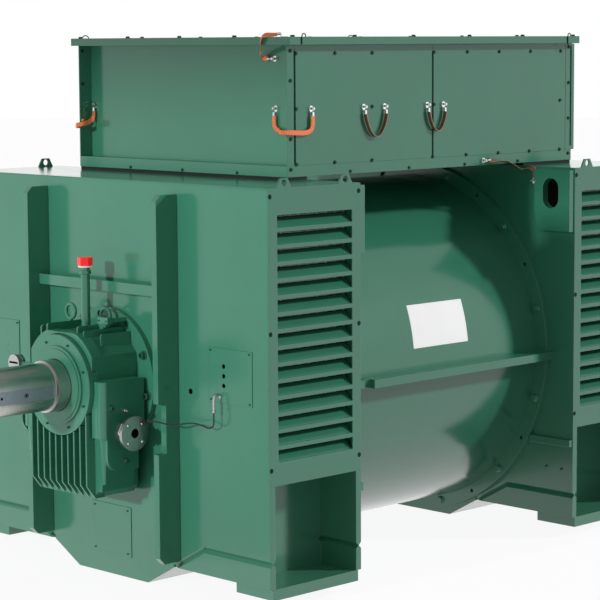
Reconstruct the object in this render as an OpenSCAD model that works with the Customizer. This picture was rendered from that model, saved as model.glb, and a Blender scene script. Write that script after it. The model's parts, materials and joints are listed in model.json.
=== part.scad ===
// Industrial AC alternator, open ventilated, with a sleeve bearing at the drive end.
// All sizes in millimetres. X runs across the machine, Y along the shaft, Z up.
// The origin is on the shaft axis, at the shoulder of the drive shaft extension.
// The extension points along -Y and the machine body lies along +Y.

/* [Shaft] */
// Diameter of the shaft extension
shaft_d = 250; // [200:5:260]
// Length of the shaft extension, from the shoulder to its end
shaft_len = 410; // [300:10:500]
// Diameter of the shaft behind the shoulder
journal_d = 270; // [264:2:280]
// Width of the key in the extension
key_w = 70; // [40:2:76]
// Length of the keyway, from the end of the extension
key_len = 400; // [200:10:400]
// Depth of the keyway below the shaft surface
key_depth = 28; // [16:1:34]
// Chamfer and fillet size at the shaft end and shoulder
shaft_edge = 8; // [3:1:12]
// Turn of the key about the shaft, below the horizontal
key_turn = 5; // [0:1:30]

/* [Body] */
// Height of the shaft axis above the feet
shaft_height = 1000; // [960:10:1100]
// Width of the end boxes
box_w = 2430; // [2380:10:2600]
// Height of the end boxes above the shaft axis
box_top = 1050; // [1030:10:1200]
// Depth of an end box along the shaft
box_d = 645; // [520:5:780]
// Distance between the two end boxes
core_len = 1732; // [1400:4:2100]
// Thickness of the four end plates
plate_t = 36; // [24:2:44]
// Distance from the shaft shoulder to the front end plate
bearing_reach = 460; // [450:10:560]
// Drop of the belly below the feet
belly_drop = 60; // [20:5:100]
// Width of the flat bottom of the belly
belly_w = 568; // [400:4:700]
// Half width where the belly slope meets the foot seam
seam_half = 725; // [700:5:760]
// Height of the welded foot seam above the feet
seam_h = 185; // [150:5:220]
// Width of the weld groove along the foot seam
groove_w = 32; // [20:2:34]

/* [Feet] */
// Width of a foot
foot_w = 272; // [220:4:300]
// Thickness of a foot plate
foot_t = 57; // [40:1:70]
// Set-back of the foot plate from the end plate faces
foot_inset = 22; // [10:1:40]
// Height of the foot pocket above the foot plate
pocket_h = 519; // [400:1:540]
// Thickness of the pocket's inner wall
pocket_wall = 16; // [10:1:24]
// Thickness of the pocket's ceiling
lintel_t = 10; // [6:1:16]
// Thickness of the belly panel
belly_t = 8; // [5:1:12]
// Diameter of a holding-down bolt hole
foot_hole_d = 48; // [30:1:60]
// Spacing of the bolt holes along the shaft
foot_hole_y = 400; // [300:5:440]
// Distance of the bolt holes from the outer edge of the foot
foot_hole_x = 120; // [90:5:150]

/* [Side panels] */
// Thickness of the louvred side panel
panel_t = 8; // [5:1:12]
// Number of louvres in a panel
louvre_n = 15; // [11:1:17]
// Pitch of the louvres
louvre_pitch = 83; // [70:1:84]
// Height of a louvre slot
louvre_slot = 61; // [40:1:64]
// Distance from the panel's edge to the louvres
louvre_margin = 60; // [50:1:90]
// Depth of a louvre blade behind the panel
blade_in = 46; // [30:1:60]
// Thickness of a louvre blade
blade_t = 4; // [3:0.5:6]
// Distance from the top of the box to the first louvre
louvre_drop = 133; // [90:1:180]
// Width of a panel's lifting tab
tab_w = 104; // [80:2:120]
// Height of a panel's lifting tab
tab_h = 46; // [36:1:60]
// Diameter of the hole in a lifting tab
tab_hole = 34; // [24:1:40]
// Distance of a tab's centre from the panel's edge
tab_in = 108; // [90:2:160]

/* [Top covers] */
// Thickness of the top covers
cover_t = 6; // [4:1:10]

/* [Ribs] */
// Distance from the shaft axis to the middle of an end rib
rib_x = 525; // [500:5:620]
// Thickness of a rib
rib_t = 40; // [24:2:60]
// Depth of a rib in front of the end plate
rib_d = 140; // [90:5:180]
// Top of the ribs above the shaft axis
rib_top = 993; // [900:1:1000]
// Bottom of the ribs below the shaft axis
rib_bottom = 903; // [700:1:920]
// Chamfer on the outer corners of the ribs
rib_chamfer = 32; // [10:1:60]
// Depth of the notch in the right rib
rib_notch_d = 52; // [20:1:80]
// Height of the notch in the right rib
rib_notch_h = 260; // [160:5:320]
// Middle of the notch below the shaft axis
rib_notch_z = 200; // [120:5:320]
// Height of the cross bar above the shaft axis
bar_z = 495; // [430:5:600]
// Height of the cross bar
bar_h = 56; // [40:2:80]
// Thickness of the cross bar
bar_t = 20; // [10:1:40]

/* [Stator] */
// Outer radius of the stator frame
stator_r = 970; // [880:5:980]
// Outer radius of the end rings
ring_r = 1046; // [1030:2:1048]
// Thickness of the end rings
ring_t = 36; // [20:2:60]
// Number of small holes round an end ring
ring_holes = 12; // [8:2:20]
// Diameter of a hole in an end ring
ring_hole_d = 22; // [12:1:30]
// Width across the side rails, from the shaft axis
rail_x = 1076; // [1060:2:1120]
// Height of the rail's lip
rail_lip = 46; // [30:1:70]
// Thickness of the rail's plates
rail_t = 10; // [6:1:16]
// Set-back of the rail's first length, which leaves room for the end ring's bolts
rail_back = 36; // [10:1:50]
// Length of the set-back part of the rail
rail_start = 250; // [150:10:400]
// Width of the slot in the rail's shelf
rail_slot = 14; // [8:1:20]
// Distance of the wall bars' lower edge below the shaft axis
wall_bar_z = 535; // [450:5:640]
// Height of the wall bars
wall_bar_h = 40; // [20:1:60]
// Thickness of the wall bars
wall_bar_t = 24; // [12:1:34]
// Length of the wall bars, from the side of the box inwards
wall_bar_len = 293; // [200:1:320]

/* [Lifting plates] */
// Width of the lifting plates
lift_w = 254; // [200:2:260]
// Height of the lifting plates
lift_h = 346; // [300:2:380]
// Thickness of the lifting plates
lift_t = 40; // [24:2:50]
// Distance from the top of the box to the top of a lifting plate
lift_drop = 14; // [8:1:40]
// Set-back of a lifting plate from the side of the box
lift_edge = 7; // [4:1:20]
// Width of the bevel on a lifting plate's inner lower corner
lift_bevel_w = 30; // [10:1:60]
// Height of the bevel on a lifting plate's inner lower corner
lift_bevel_h = 104; // [60:1:140]
// Width of the oval lifting hole
lift_hole_w = 112; // [80:2:130]
// Height of the oval lifting hole
lift_hole_h = 170; // [140:2:180]
// Distance from the side of the box to the middle of a lifting hole
lift_hole_x = 143; // [130:1:150]
// Distance from the top of the box to the middle of a lifting hole
lift_hole_z = 147; // [120:1:180]

/* [Terminal box] */
// Width of the terminal box
tbox_w = 1680; // [1500:10:1900]
// Distance from the front end plate to the terminal box
tbox_y = 496; // [440:2:560]
// Length of the terminal box
tbox_len = 2310; // [2000:10:2600]
// Height of the terminal box's foot above the shaft axis
tbox_z = 1066; // [1060:1:1240]
// Height of the terminal box without its lid
tbox_h = 684; // [500:2:800]
// Wall thickness of the terminal box
tbox_t = 6; // [4:1:10]
// Depth of the recessed ends
tbox_recess = 83; // [50:1:110]
// Height of the foot flange
tbox_foot = 58; // [30:2:70]
// Thickness of the lid's rim
lid_h = 33; // [20:1:50]
// Overhang of the lid at the sides
lid_over = 43; // [20:1:60]
// Overhang of the lid at the ends
lid_end = 18; // [10:1:40]
// Drop of the lid's folded rim
lid_drop = 8; // [4:1:30]
// Width of the corner strips beside the side covers
tbox_strip = 55; // [40:1:80]
// Length of the first side cover
tbox_cover = 1049; // [800:1:1200]
// Width and depth of the seams between the side covers
tbox_seam = 3; // [2:0.5:4]
// Reach of the cable box past the rear end of the terminal box
tbox_rear_box = 76; // [40:1:90]

/* [Bearing] */
// Radius of the bearing's mounting flange
flange_r = 380; // [360:5:420]
// Thickness of the mounting flange
flange_t = 30; // [20:1:50]
// Bolt circle radius of the mounting flange
flange_pcr = 343; // [340:1:350]
// Depth of the bearing housing in front of the end plate
house_d = 355; // [320:5:400]
// Bottom of the housing below the shaft axis
house_bottom = 575; // [520:5:600]
// Pitch of the fins
fin_pitch = 50; // [40:1:56]
// Thickness of a fin
fin_t = 10; // [8:1:16]
// Depth of the finned front
fin_depth = 55; // [30:1:80]
// Half width of the housing at shaft height
house_half = 250; // [240:2:280]
// Top of the housing above the shaft axis
house_top = 262; // [250:2:290]
// Height of the sloping shoulders of the housing
shoulder_h = 99; // [40:1:120]
// Width of the sloping shoulders of the housing
shoulder_w = 104; // [30:1:120]
// Radius of the round boss at the front of the housing
boss_r = 298; // [275:1:310]
// Length of the round boss at the front of the housing
boss_len = 71; // [30:1:90]
// Distance from the front of the seal cover back to the face of the boss
boss_face = 26; // [10:1:50]
// Rise of the top of the boss above the housing
boss_rise = 12; // [0:1:20]
// Distance of the bottom of the boss's face below the shaft axis
boss_low = 25; // [0:5:60]
// Rise of the tallest top fins above the housing
top_fin_h = 43; // [20:1:60]
// Half width over the side blocks
block_half = 330; // [310:2:350]
// Top of the side blocks above the shaft axis
block_top = 40; // [20:1:60]
// Bottom of the raised pad on a side block, below the shaft axis
pad_bottom = 429; // [380:1:460]
// Step between the raised pad and the rest of a side block
pad_step = 30; // [10:1:40]
// Radius of the raised pad's lower front corner
pad_corner = 77; // [30:1:100]
// Radius of the round pilaster at the front corner of a side block
pilaster_r = 30; // [16:1:40]
// Radius of the seal cover
seal_r = 262; // [240:2:270]
// Distance from the shaft axis to the flat on the left of the seal cover
seal_flat = 216; // [210:1:240]
// Radius of the raised face of the seal cover
seal_step_r = 205; // [196:1:225]
// Height of the raised face of the seal cover
seal_step = 12; // [6:1:20]
// Radius of the seal ring on the raised face
seal_ring_r = 190; // [170:1:195]
// Radial clearance of the seal on the shaft
seal_gap = 2; // [1:0.5:5]
// Clearance between the seal cover and the fins around it
seal_seat = 3; // [1:1:8]
// Clearance of the housing bore on the shaft
bore_gap = 8; // [6:1:12]
// Radius of the oil pipe flanges
pipe_r = 90; // [70:2:100]
// Running clearance of the bearing shells on the shaft
shell_gap = 0.3; // [0.2:0.05:0.6]
// Length of the bearing shells
shell_len = 200; // [120:10:220]
// Bore of the oil pipe flanges
pipe_bore = 50; // [30:1:70]
// Height of the oil pipes below the shaft axis
pipe_z = 226; // [180:2:260]
// Distance of the oil pipes in front of the end plate
pipe_y = 190; // [150:5:230]
// Length of the oil pipes' necks
pipe_neck = 72; // [50:1:90]
// Radius of the breather pipe
breather_r = 24; // [20:1:34]
// Top of the breather cap above the shaft axis
breather_top = 649; // [600:5:720]
// Radius of the breather cap
cap_r = 40; // [36:1:56]
// Height of the breather cap
cap_h = 43; // [36:1:60]
// Radius of the eyebolt's ring, to the middle of its bar
eye_r = 38; // [24:1:44]
// Radius of the eyebolt's bar
eye_bar = 9; // [6:1:10]
// Radius of the hexagonal vent fitting
vent_w = 82; // [60:2:100]
// Height of the vent block's underside above the housing
vent_rise = 48; // [40:1:60]
// Radius of the sensor head
head_r = 46; // [36:1:50]
// Length of the sensor head
head_len = 45; // [36:1:60]
// Reach of the sensor head from the shaft axis
head_x = 420; // [400:2:460]
// Height of the sensor head above the shaft axis
head_z = 68; // [50:1:90]

/* [Earthing straps and cable] */
// Width of an earthing strap
strap_w = 26; // [18:1:32]
// Thickness of an earthing strap
strap_t = 5; // [4:0.5:8]
// Outer radius of a strap's lug
lug_r = 15; // [12:1:18]
// Radius of the hole in a lug
lug_hole = 7; // [5:0.5:8]
// Thickness of a lug
lug_t = 3; // [2:0.5:4]
// Length of a lug's barrel
lug_barrel = 20; // [14:1:26]
// Diameter of the sensor cable
cable_d = 8; // [6:0.5:10]
// Diameter of the bent entry tube that the cable goes into
entry_d = 15; // [12:1:20]
// Bend radius of the entry tube
entry_bend = 22; // [18:1:26]

/* [Hidden] */
$fn = 64;
green = "seagreen";
hw = box_w / 2;
feet_z = -shaft_height;
belly_z = feet_z - belly_drop;
seam_z = feet_z + seam_h;
foot_x = hw - foot_w;
foot_top = feet_z + foot_t;
slope = (seam_z - belly_z) / (seam_half - belly_w / 2);
skirt_x = belly_w / 2 + (foot_top - belly_z) / slope;
de_y = bearing_reach;
de_back = de_y + box_d;
nde_y = de_back + core_len;
nde_back = nde_y + box_d;
lintel_z = foot_top + pocket_h;
inner_x = hw - panel_t;
inner_z = box_top - cover_t;
inner_d = box_d - 2 * plate_t;
field_w = box_d - 2 * louvre_margin;
tab_z = box_top + tab_h;
bore_r = journal_d / 2 + bore_gap;
tbox_front = de_y + tbox_y;
tbox_rear = tbox_front + tbox_len;
tbox_top = tbox_z + tbox_h;
tbox_half = tbox_w / 2;
shelf_x = rail_x - rail_back;
end_y = tbox_front + tbox_recess;
strap_off = strap_w / 2 + 3;
strap_start = lug_r + 4 + lug_barrel + 0.3;
strap_z = 1415;
lid_lug = [784, tbox_front + 44, 1671];
wall_lug = [938, nde_y, 958];
flange_lug_y = tbox_front + 1530;
patch_t = 4;
entry = [867, de_y - patch_t - 5 - 2 * entry_bend, -17];
// Place along X in fin pitches, top above the housing and set-back of each top fin
TOP_FINS = [[-4, 0.63, 0], [-3, 0.96, 0], [2, 1.04, 0], [3, 0.6, 0], [4, 0.14, 1]];

// A plate lying in the XZ plane, from y to y + t
module slab_y(y, t) {
    translate([0, y + t, 0]) rotate([90, 0, 0]) linear_extrude(t) children();
}

// A plate lying in the YZ plane, from x to x + t
module slab_x(x, t) {
    translate([x, 0, 0]) rotate([90, 0, 90]) linear_extrude(t) children();
}

// A cylinder along Y, from y to y + l
module rod_y(r, y, l) {
    translate([0, y + l, 0]) rotate([90, 0, 0]) cylinder(r = r, h = l);
}

// A child and its mirror image on the other side
module both_sides() {
    children();
    mirror([1, 0, 0]) children();
}

// One straight run of the V shaped weld groove, on the face at y
module groove_run(p, q, y) {
    a = groove_w / sqrt(2);
    run = norm(q - p);
    translate([p[0], y, p[1]])
        rotate([0, -atan2(q[1] - p[1], q[0] - p[0]), 0])
            rotate([45, 0, 0]) translate([0, -a / 2, -a / 2]) cube([run, a, a]);
}

// The weld grooves on both faces of a plate, from the belly to the side, mitred at the knee
module grooves(y) {
    low = [skirt_x, foot_top];
    knee = [seam_half, seam_z];
    mitre = groove_w / 2 * tan(atan(slope) / 2) + 0.5;
    for (face = [y, y + plate_t]) both_sides() {
        groove_run(low, knee + mitre * (knee - low) / norm(knee - low), face);
        groove_run(knee - [mitre, 0], [hw + 5, seam_z], face);
    }
}

// Outline of an end plate with its belly
module end_outline() {
    right = [[inner_x, inner_z], [inner_x, lintel_z], [hw, lintel_z], [hw, seam_z],
             [seam_half, seam_z], [belly_w / 2, belly_z]];
    left = [for (i = [len(right) - 1:-1:0]) [-right[i][0], right[i][1]]];
    polygon(concat(right, left));
}

// An end plate with a round opening
module end_plate(y, hole_r) {
    difference() {
        slab_y(y, plate_t) end_outline();
        rod_y(hole_r, y - 1, plate_t + 2, $fn = 96);
        grooves(y);
    }
}

// Outline of the skirt that joins a foot to the belly slope
module skirt_outline() {
    polygon([[skirt_x, foot_top], [seam_half, seam_z], [hw, seam_z], [hw, foot_top]]);
}

// Right foot frame: two skirts, the foot plate and the pocket's inner wall
module foot(y) {
    difference() {
        union() {
            slab_y(y, plate_t) skirt_outline();
            slab_y(y + box_d - plate_t, plate_t) skirt_outline();
            translate([foot_x, y + foot_inset, feet_z])
                cube([foot_w, box_d - 2 * foot_inset, foot_t]);
            translate([foot_x, y + plate_t, foot_top])
                cube([pocket_wall, inner_d, pocket_h]);
            translate([foot_x, y + plate_t, lintel_z])
                cube([foot_w - panel_t, inner_d, lintel_t]);
        }
        grooves(y);
        grooves(y + box_d - plate_t);
        for (s = [-1, 1])
            translate([hw - foot_hole_x, y + box_d / 2 + s * foot_hole_y / 2, feet_z - 1])
                cylinder(d = foot_hole_d, h = foot_t + 2);
    }
}

// Bent panel that closes an end box underneath
module belly_panel(y) {
    low = [[-foot_x, seam_z], [-seam_half, seam_z], [-belly_w / 2, belly_z],
           [belly_w / 2, belly_z], [seam_half, seam_z], [foot_x, seam_z]];
    high = [for (i = [len(low) - 1:-1:0]) low[i] + [0, belly_t]];
    slab_y(y + plate_t, inner_d) polygon(concat(low, high));
}

// Flat top cover of an end box, between its side panels
module top_cover(y) {
    translate([-inner_x, y, inner_z]) cube([2 * inner_x, box_d, cover_t]);
}

// Right side panel with louvres and two lifting tabs
module louvre_panel(y) {
    top_z = box_top - louvre_drop;
    difference() {
        translate([inner_x, y, lintel_z]) cube([panel_t, box_d, box_top - lintel_z]);
        for (i = [0:louvre_n - 1])
            translate([inner_x - 1, y + louvre_margin, top_z - louvre_slot - i * louvre_pitch])
                cube([panel_t + 2, field_w, louvre_slot]);
    }
    for (i = [0:louvre_n - 1])
        blade(y, top_z - louvre_slot - i * louvre_pitch);
    for (t = [tab_in, box_d - tab_in])
        tab(y + t);
}

// One louvre blade, rising inwards from the lower edge of its slot
module blade(y, z) {
    translate([inner_x, y + louvre_margin, z]) mirror([1, 0, 0])
        rotate([-90, 0, 0]) mirror([0, 1, 0]) linear_extrude(field_w)
            polygon([[-1, -blade_t], [blade_in, blade_in - blade_t],
                     [blade_in, blade_in], [-1, 0]]);
}

// One lifting tab on the top edge of a side panel
module tab(y) {
    difference() {
        slab_x(inner_x, panel_t)
            polygon([[y - tab_w / 2, box_top - 1], [y - tab_w / 4, tab_z],
                     [y + tab_w / 4, tab_z], [y + tab_w / 2, box_top - 1]]);
        translate([hw - 30, y, box_top + tab_h / 2]) rotate([0, 90, 0])
            cylinder(d = tab_hole, h = 40);
    }
}

// Side outline of a rib, with chamfered outer corners
module rib_outline() {
    polygon([[0, rib_top], [-rib_d + rib_chamfer, rib_top], [-rib_d, rib_top - rib_chamfer],
             [-rib_d, -rib_bottom + rib_chamfer], [-rib_d + rib_chamfer, -rib_bottom],
             [0, -rib_bottom]]);
}

// One rib in front of the plate at y = 0
module rib() {
    slab_x(rib_x - rib_t / 2, rib_t) rib_outline();
}

// The drive end's pair of ribs, the right one notched for the oil pipe
module ribs_de() {
    translate([0, de_y, 0]) {
        mirror([1, 0, 0]) rib();
        difference() {
            rib();
            translate([rib_x - rib_t, -rib_d - 1, -rib_notch_z - rib_notch_h / 2])
                cube([2 * rib_t, rib_notch_d + 1, rib_notch_h]);
        }
    }
}

// Bar between a pair of ribs
module cross_bar(y) {
    translate([-rib_x + rib_t / 2, y, bar_z - bar_h / 2])
        cube([2 * rib_x - rib_t, bar_t, bar_h]);
}

// Stator frame: a plain drum between the inner end plates
module drum() {
    difference() {
        rod_y(stator_r, de_back, core_len, $fn = 128);
        rod_y(bore_r, de_back - 1, core_len + 2);
    }
}

// One end ring, its face at y, with small holes between its bolts
module ring(y) {
    difference() {
        rod_y(ring_r, y, ring_t, $fn = 128);
        rod_y(stator_r, y - 1, ring_t + 2, $fn = 128);
        for (i = [0:ring_holes - 1]) rotate([0, -29 - i * 360 / ring_holes, 0])
            translate([(stator_r + ring_r) / 2, 0, 0])
                rod_y(ring_hole_d / 2, y - 1, ring_t + 2, $fn = 20);
    }
}

// Right side rail: a shelf with a lip, cut to the round of the frame and its rings
module rail() {
    difference() {
        rail_blank();
        rod_y(stator_r, de_back - 1, core_len + 2, $fn = 128);
        rod_y(ring_r, de_back - 1, ring_t + 1, $fn = 128);
        rod_y(ring_r, nde_y - ring_t, ring_t + 1, $fn = 128);
        translate([shelf_x - rail_t - rail_slot - 6, de_back + ring_t + 20, -rail_t - 1])
            cube([rail_slot, rail_start - ring_t - 40, rail_t + 2]);
    }
}

// Shelf and lip of a side rail, before they are cut to the frame
module rail_blank() {
    root_x = stator_r - 40;
    translate([root_x, de_back, -rail_t])
        cube([shelf_x - root_x, core_len, rail_t]);
    translate([root_x, de_back + rail_start, -rail_t])
        cube([rail_x - root_x, core_len - rail_start, rail_t]);
    translate([rail_x - rail_t, de_back + rail_start, -rail_lip])
        cube([rail_t, core_len - rail_start, rail_lip]);
    translate([shelf_x - rail_t, de_back, -rail_lip])
        cube([rail_t, rail_start + 10, rail_lip]);
    translate([shelf_x - rail_t, de_back + rail_start, -rail_lip])
        cube([rail_back + rail_t, rail_t, rail_lip]);
}

// Right wall bar on the plate face at y, its inner end cut to the round of the end ring
module wall_bar(y) {
    difference() {
        translate([hw - 5 - wall_bar_len, y, -wall_bar_z]) cube([wall_bar_len, wall_bar_t, wall_bar_h]);
        rod_y(ring_r + 2, y - 1, wall_bar_t + 2, $fn = 128);
    }
}

// Outline of the right lifting plate with its oval hole
module lift_outline() {
    right = hw - lift_edge;
    left = right - lift_w;
    top = box_top - lift_drop;
    low = top - lift_h;
    rise = (lift_hole_h - lift_hole_w) / 2;
    difference() {
        polygon([[left, top], [right, top], [right, low], [left + lift_bevel_w, low],
                 [left, low + lift_bevel_h]]);
        translate([hw - lift_hole_x, box_top - lift_hole_z]) {
            square([lift_hole_w, 2 * rise], center = true);
            for (s = [-1, 1]) translate([0, s * rise]) circle(d = lift_hole_w);
        }
    }
}

// Terminal box body: a closed box on a foot flange, with recessed ends and a cable box at the rear
module tbox_body() {
    x0 = tbox_half - tbox_t;
    wall_z = tbox_z + tbox_foot;
    translate([-tbox_half, tbox_front, tbox_z]) cube([tbox_w, tbox_len, tbox_foot]);
    for (y = [tbox_front + 30, nde_y + 30])
        translate([-tbox_half + 60, y, box_top]) cube([tbox_w - 120, 80, tbox_z - box_top + 1]);
    translate([-x0, tbox_front + tbox_recess, tbox_z])
        cube([2 * x0, tbox_len - 2 * tbox_recess, tbox_h]);
    translate([-x0 + 34, tbox_rear - tbox_recess - 1, wall_z])
        cube([2 * x0 - 68, tbox_recess + tbox_rear_box + 1, tbox_h - tbox_foot - lid_drop - 2]);
}

// Right side covers of the terminal box, standing past both recessed ends, with their seams
module tbox_side() {
    wall_z = tbox_z + tbox_foot;
    difference() {
        translate([tbox_half - tbox_t, tbox_front, wall_z])
            cube([tbox_t, tbox_len, tbox_h - tbox_foot]);
        for (y = [tbox_strip, tbox_strip + tbox_cover, tbox_len - tbox_strip])
            translate([tbox_half - tbox_seam, tbox_front + y - tbox_seam / 2, wall_z - 1])
                cube([tbox_seam + 1, tbox_seam, tbox_h]);
    }
}

// Lid of the terminal box with its folded rim
module lid() {
    x = tbox_half + lid_over;
    y0 = tbox_front - lid_end;
    depth = tbox_len + 2 * lid_end;
    translate([-x, y0, tbox_top]) cube([2 * x, depth, lid_h]);
    difference() {
        translate([-x, y0, tbox_top - lid_drop]) cube([2 * x, depth, lid_drop + 1]);
        translate([-x + tbox_t, y0 + tbox_t, tbox_top - lid_drop - 1])
            cube([2 * (x - tbox_t), depth - 2 * tbox_t, lid_drop + 1]);
    }
}

// Round mounting flange of a bearing, on the plate face at y = 0
module mount_flange() {
    difference() {
        union() {
            rod_y(flange_r, -flange_t, flange_t, $fn = 96);
            rod_y(flange_pcr - 40, 0, plate_t, $fn = 96);
        }
        rod_y(bore_r, -flange_t - 1, flange_t + plate_t + 2);
        for (a = [-10:36:349]) rotate([0, -a, 0]) translate([flange_pcr, 0, 0])
            rod_y(16, -flange_t - 1, flange_t + 2, $fn = 24);
    }
}

// Outline of the bearing housing, with sloping shoulders and cut lower corners
module housing_outline() {
    h = house_half;
    polygon([[-h + shoulder_w, house_top], [-h, house_top - shoulder_h], [-h, -house_bottom + 40],
             [-h + 40, -house_bottom], [h - 40, -house_bottom], [h, -house_bottom + 40],
             [h, house_top - shoulder_h], [h - shoulder_w, house_top]]);
}

// Outline of the round boss above the shaft axis, cut to the width of the housing
module boss_outline() {
    intersection() {
        circle(r = boss_r, $fn = 96);
        translate([-house_half, -boss_low])
            square([2 * house_half, boss_low + house_top + boss_rise]);
    }
}

// Finned sleeve bearing housing, in front of the plate face at y = 0
module housing() {
    front = -house_d + fin_depth;
    boss = -house_d + boss_face;
    difference() {
        union() {
            slab_y(boss, boss_len + 1) boss_outline();
            slab_y(boss + boss_len, -boss - boss_len - flange_t) housing_outline();
            slab_y(front, boss_len) intersection() {
                housing_outline();
                translate([-house_half, -house_bottom]) square([2 * house_half, house_bottom]);
            }
            translate([-3.5 * fin_pitch, -120, house_top - shoulder_h])
                cylinder(r = 17, h = shoulder_h);
            for (i = [0:9]) front_fin((i - 4.5) * fin_pitch);
            for (f = TOP_FINS) top_fin(f[0] * fin_pitch, f[1] * top_fin_h, front + f[2] * boss_len);
            both_sides() side_block();
        }
        rod_y(bore_r, -house_d - 1, house_d + 2);
        rod_y(seal_r + seal_seat, -house_d - 1, fin_depth + 1, $fn = 96);
    }
}

// One fin on the front of the housing, its lower end cut back
module front_fin(x) {
    front = -house_d + fin_depth;
    slab_x(x - fin_t / 2, fin_t)
        polygon([[-house_d, -80], [-house_d, -house_bottom + 68], [front, -house_bottom],
                 [front + 60, -house_bottom], [front + 60, -80]]);
}

// One fin on top of the housing, from y back to the mounting flange
module top_fin(x, rise, y) {
    root = house_top - shoulder_h - 10;
    slab_x(x - fin_t / 2, fin_t)
        polygon([[y + 8, root], [y, root + 8], [y, house_top + rise - 8], [y + 8, house_top + rise],
                 [-flange_t - 1, house_top + rise], [-flange_t - 1, root]]);
}

// Right side block: a body, a raised pad for the oil pipe and a round pilaster at the front
module side_block() {
    front = -house_d + fin_depth;
    root = house_half - 10;
    face = block_half - pad_step;
    low = -house_bottom + 40;
    slab_y(front, -front - 92)
        polygon([[root, block_top], [face, block_top], [face, -pad_bottom], [face - 20, low],
                 [root, low]]);
    slab_x(root, block_half - root) pad_outline(front);
    translate([root, front - pilaster_r + 3, -255])
        cube([block_half - pilaster_r - root, pilaster_r, 255 + block_top]);
    translate([block_half - pilaster_r, front, -255]) {
        cylinder(r = pilaster_r, h = 255 + block_top);
        translate([-6, 8, -240]) cylinder(r1 = pilaster_r / 3, r2 = pilaster_r * 0.8, h = 240.5);
    }
}

// Side outline of the raised pad with its rounded lower front corner
module pad_outline(front) {
    r = pad_corner;
    corner = [for (a = [180:15:270]) [front + r + r * cos(a), -pad_bottom + r + r * sin(a)]];
    polygon(concat([[-49, block_top - 6], [-55, block_top], [front, block_top]], corner,
                   [[-92, -pad_bottom], [-92, -300], [-49, -230]]));
}

// Eyebolt on the housing at p in front of the plate face, with the middle of its ring at z = eye
module eyebolt(p, eye) translate([p[0], de_y + p[1], 0]) {
    translate([0, 0, house_top]) cylinder(r = 17, h = 22);
    translate([0, 0, house_top]) cylinder(r = 11, h = eye - eye_r - house_top);
    translate([0, 0, eye]) rotate([90, 0, 0]) rotate_extrude($fn = 32)
        translate([eye_r, 0]) circle(r = eye_bar, $fn = 16);
}

// Stepped seal cover around the shaft, with a flat on its left side
module seal() {
    difference() {
        union() {
            intersection() {
                rod_y(seal_r, -house_d, fin_depth, $fn = 96);
                translate([-seal_flat, -house_d - 1, -seal_r])
                    cube([seal_flat + seal_r, fin_depth + 2, 2 * seal_r]);
            }
            rod_y(seal_step_r, -house_d - seal_step, seal_step + 1, $fn = 96);
            rod_y(seal_ring_r, -house_d - seal_step - 5, 6, $fn = 96);
        }
        rod_y(journal_d / 2 + seal_gap, -house_d - seal_step - 7, fin_depth + seal_step + 9, $fn = 96);
    }
}

// Bearing shell that carries the shaft, in front of the plate face at y = 0
module shell() {
    difference() {
        rod_y(bore_r, -house_d + fin_depth + 20, shell_len, $fn = 96);
        rod_y(journal_d / 2 + shell_gap, -house_d + fin_depth + 19, shell_len + 2, $fn = 96);
    }
}

// Right oil pipe stub with its round flange, beside a bearing housing
module oil_flange() {
    translate([block_half, -pipe_y, -pipe_z]) rotate([0, 90, 0]) difference() {
        union() {
            cylinder(r = 44, h = 14, $fn = 6);
            cylinder(r = 34, h = pipe_neck);
            translate([0, 0, 30]) cylinder(r = 39, h = 12);
            translate([0, 0, pipe_neck]) cylinder(r = pipe_r, h = 18);
        }
        translate([0, 0, -1]) cylinder(d = pipe_bore, h = 100);
        for (a = [45:90:315]) rotate(a) translate([pipe_r - 20, 0, 60]) cylinder(d = 14, h = 40, $fn = 16);
    }
}

// Unit vector along v
function unit(v) = v / norm(v);

// Direction of a route at its point i
function along(route, i) = unit(route[min(i + 1, len(route) - 1)] - route[max(i - 1, 0)]);

// A band or round cord swept along a route: side gives the direction of its width at each point
module sweep(route, side, wide, thick, n = 8) {
    rings = [for (i = [0:len(route) - 1])
        let (t = along(route, i), w = unit(side[i] - (side[i] * t) * t), h = cross(t, w))
            for (k = [0:n - 1]) route[i] + wide / 2 * cos((k + 0.5) * 360 / n) * w
                                         + thick / 2 * sin((k + 0.5) * 360 / n) * h];
    last = len(route) - 1;
    quads = [for (i = [0:last - 1]) for (k = [0:n - 1])
        let (a = i * n + k, b = i * n + (k + 1) % n) each [[a, b + n, b], [a, a + n, b + n]]];
    polyhedron(points = rings, faces = concat(quads, [[for (k = [0:n - 1]) k]],
                                              [[for (k = [n - 1:-1:0]) last * n + k]]));
}

// A strap that hangs between two lugs on a side cover, its width across the cover
module hanging_strap(y1, y2, drop) {
    half = (y2 - y1) / 2;
    depth = drop - strap_start;
    route = [for (a = [0:18:180])
        [tbox_half + strap_off, y1 + half - half * cos(a),
         strap_z - strap_start - depth * pow(sin(a), 1.5)]];
    sweep(route, [for (p = route) [1, 0, 0]], strap_w, strap_t);
}

// A strap laid flat along a surface: each stop is a point and the outward direction there
module laid_strap(stops) {
    route = [for (p = stops) p[0]];
    sweep(route, [for (i = [0:len(route) - 1]) cross(along(route, i), stops[i][1])], strap_w, strap_t);
}

// A lug on the XY plane, its hole at the origin and its raised barrel along -Y
module lug() {
    linear_extrude(lug_t) difference() {
        union() {
            circle(r = lug_r, $fn = 24);
            translate([-lug_hole, -lug_r - 4]) square([2 * lug_hole, lug_r - 4]);
        }
        circle(r = lug_hole, $fn = 16);
    }
    translate([-lug_hole * 0.7, -lug_r - 8, 0]) cube([1.4 * lug_hole, 6, strap_off]);
    translate([0, -lug_r - 4, strap_off]) rotate([90, 0, 0])
        cylinder(r = lug_hole, h = lug_barrel, $fn = 16);
}

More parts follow.
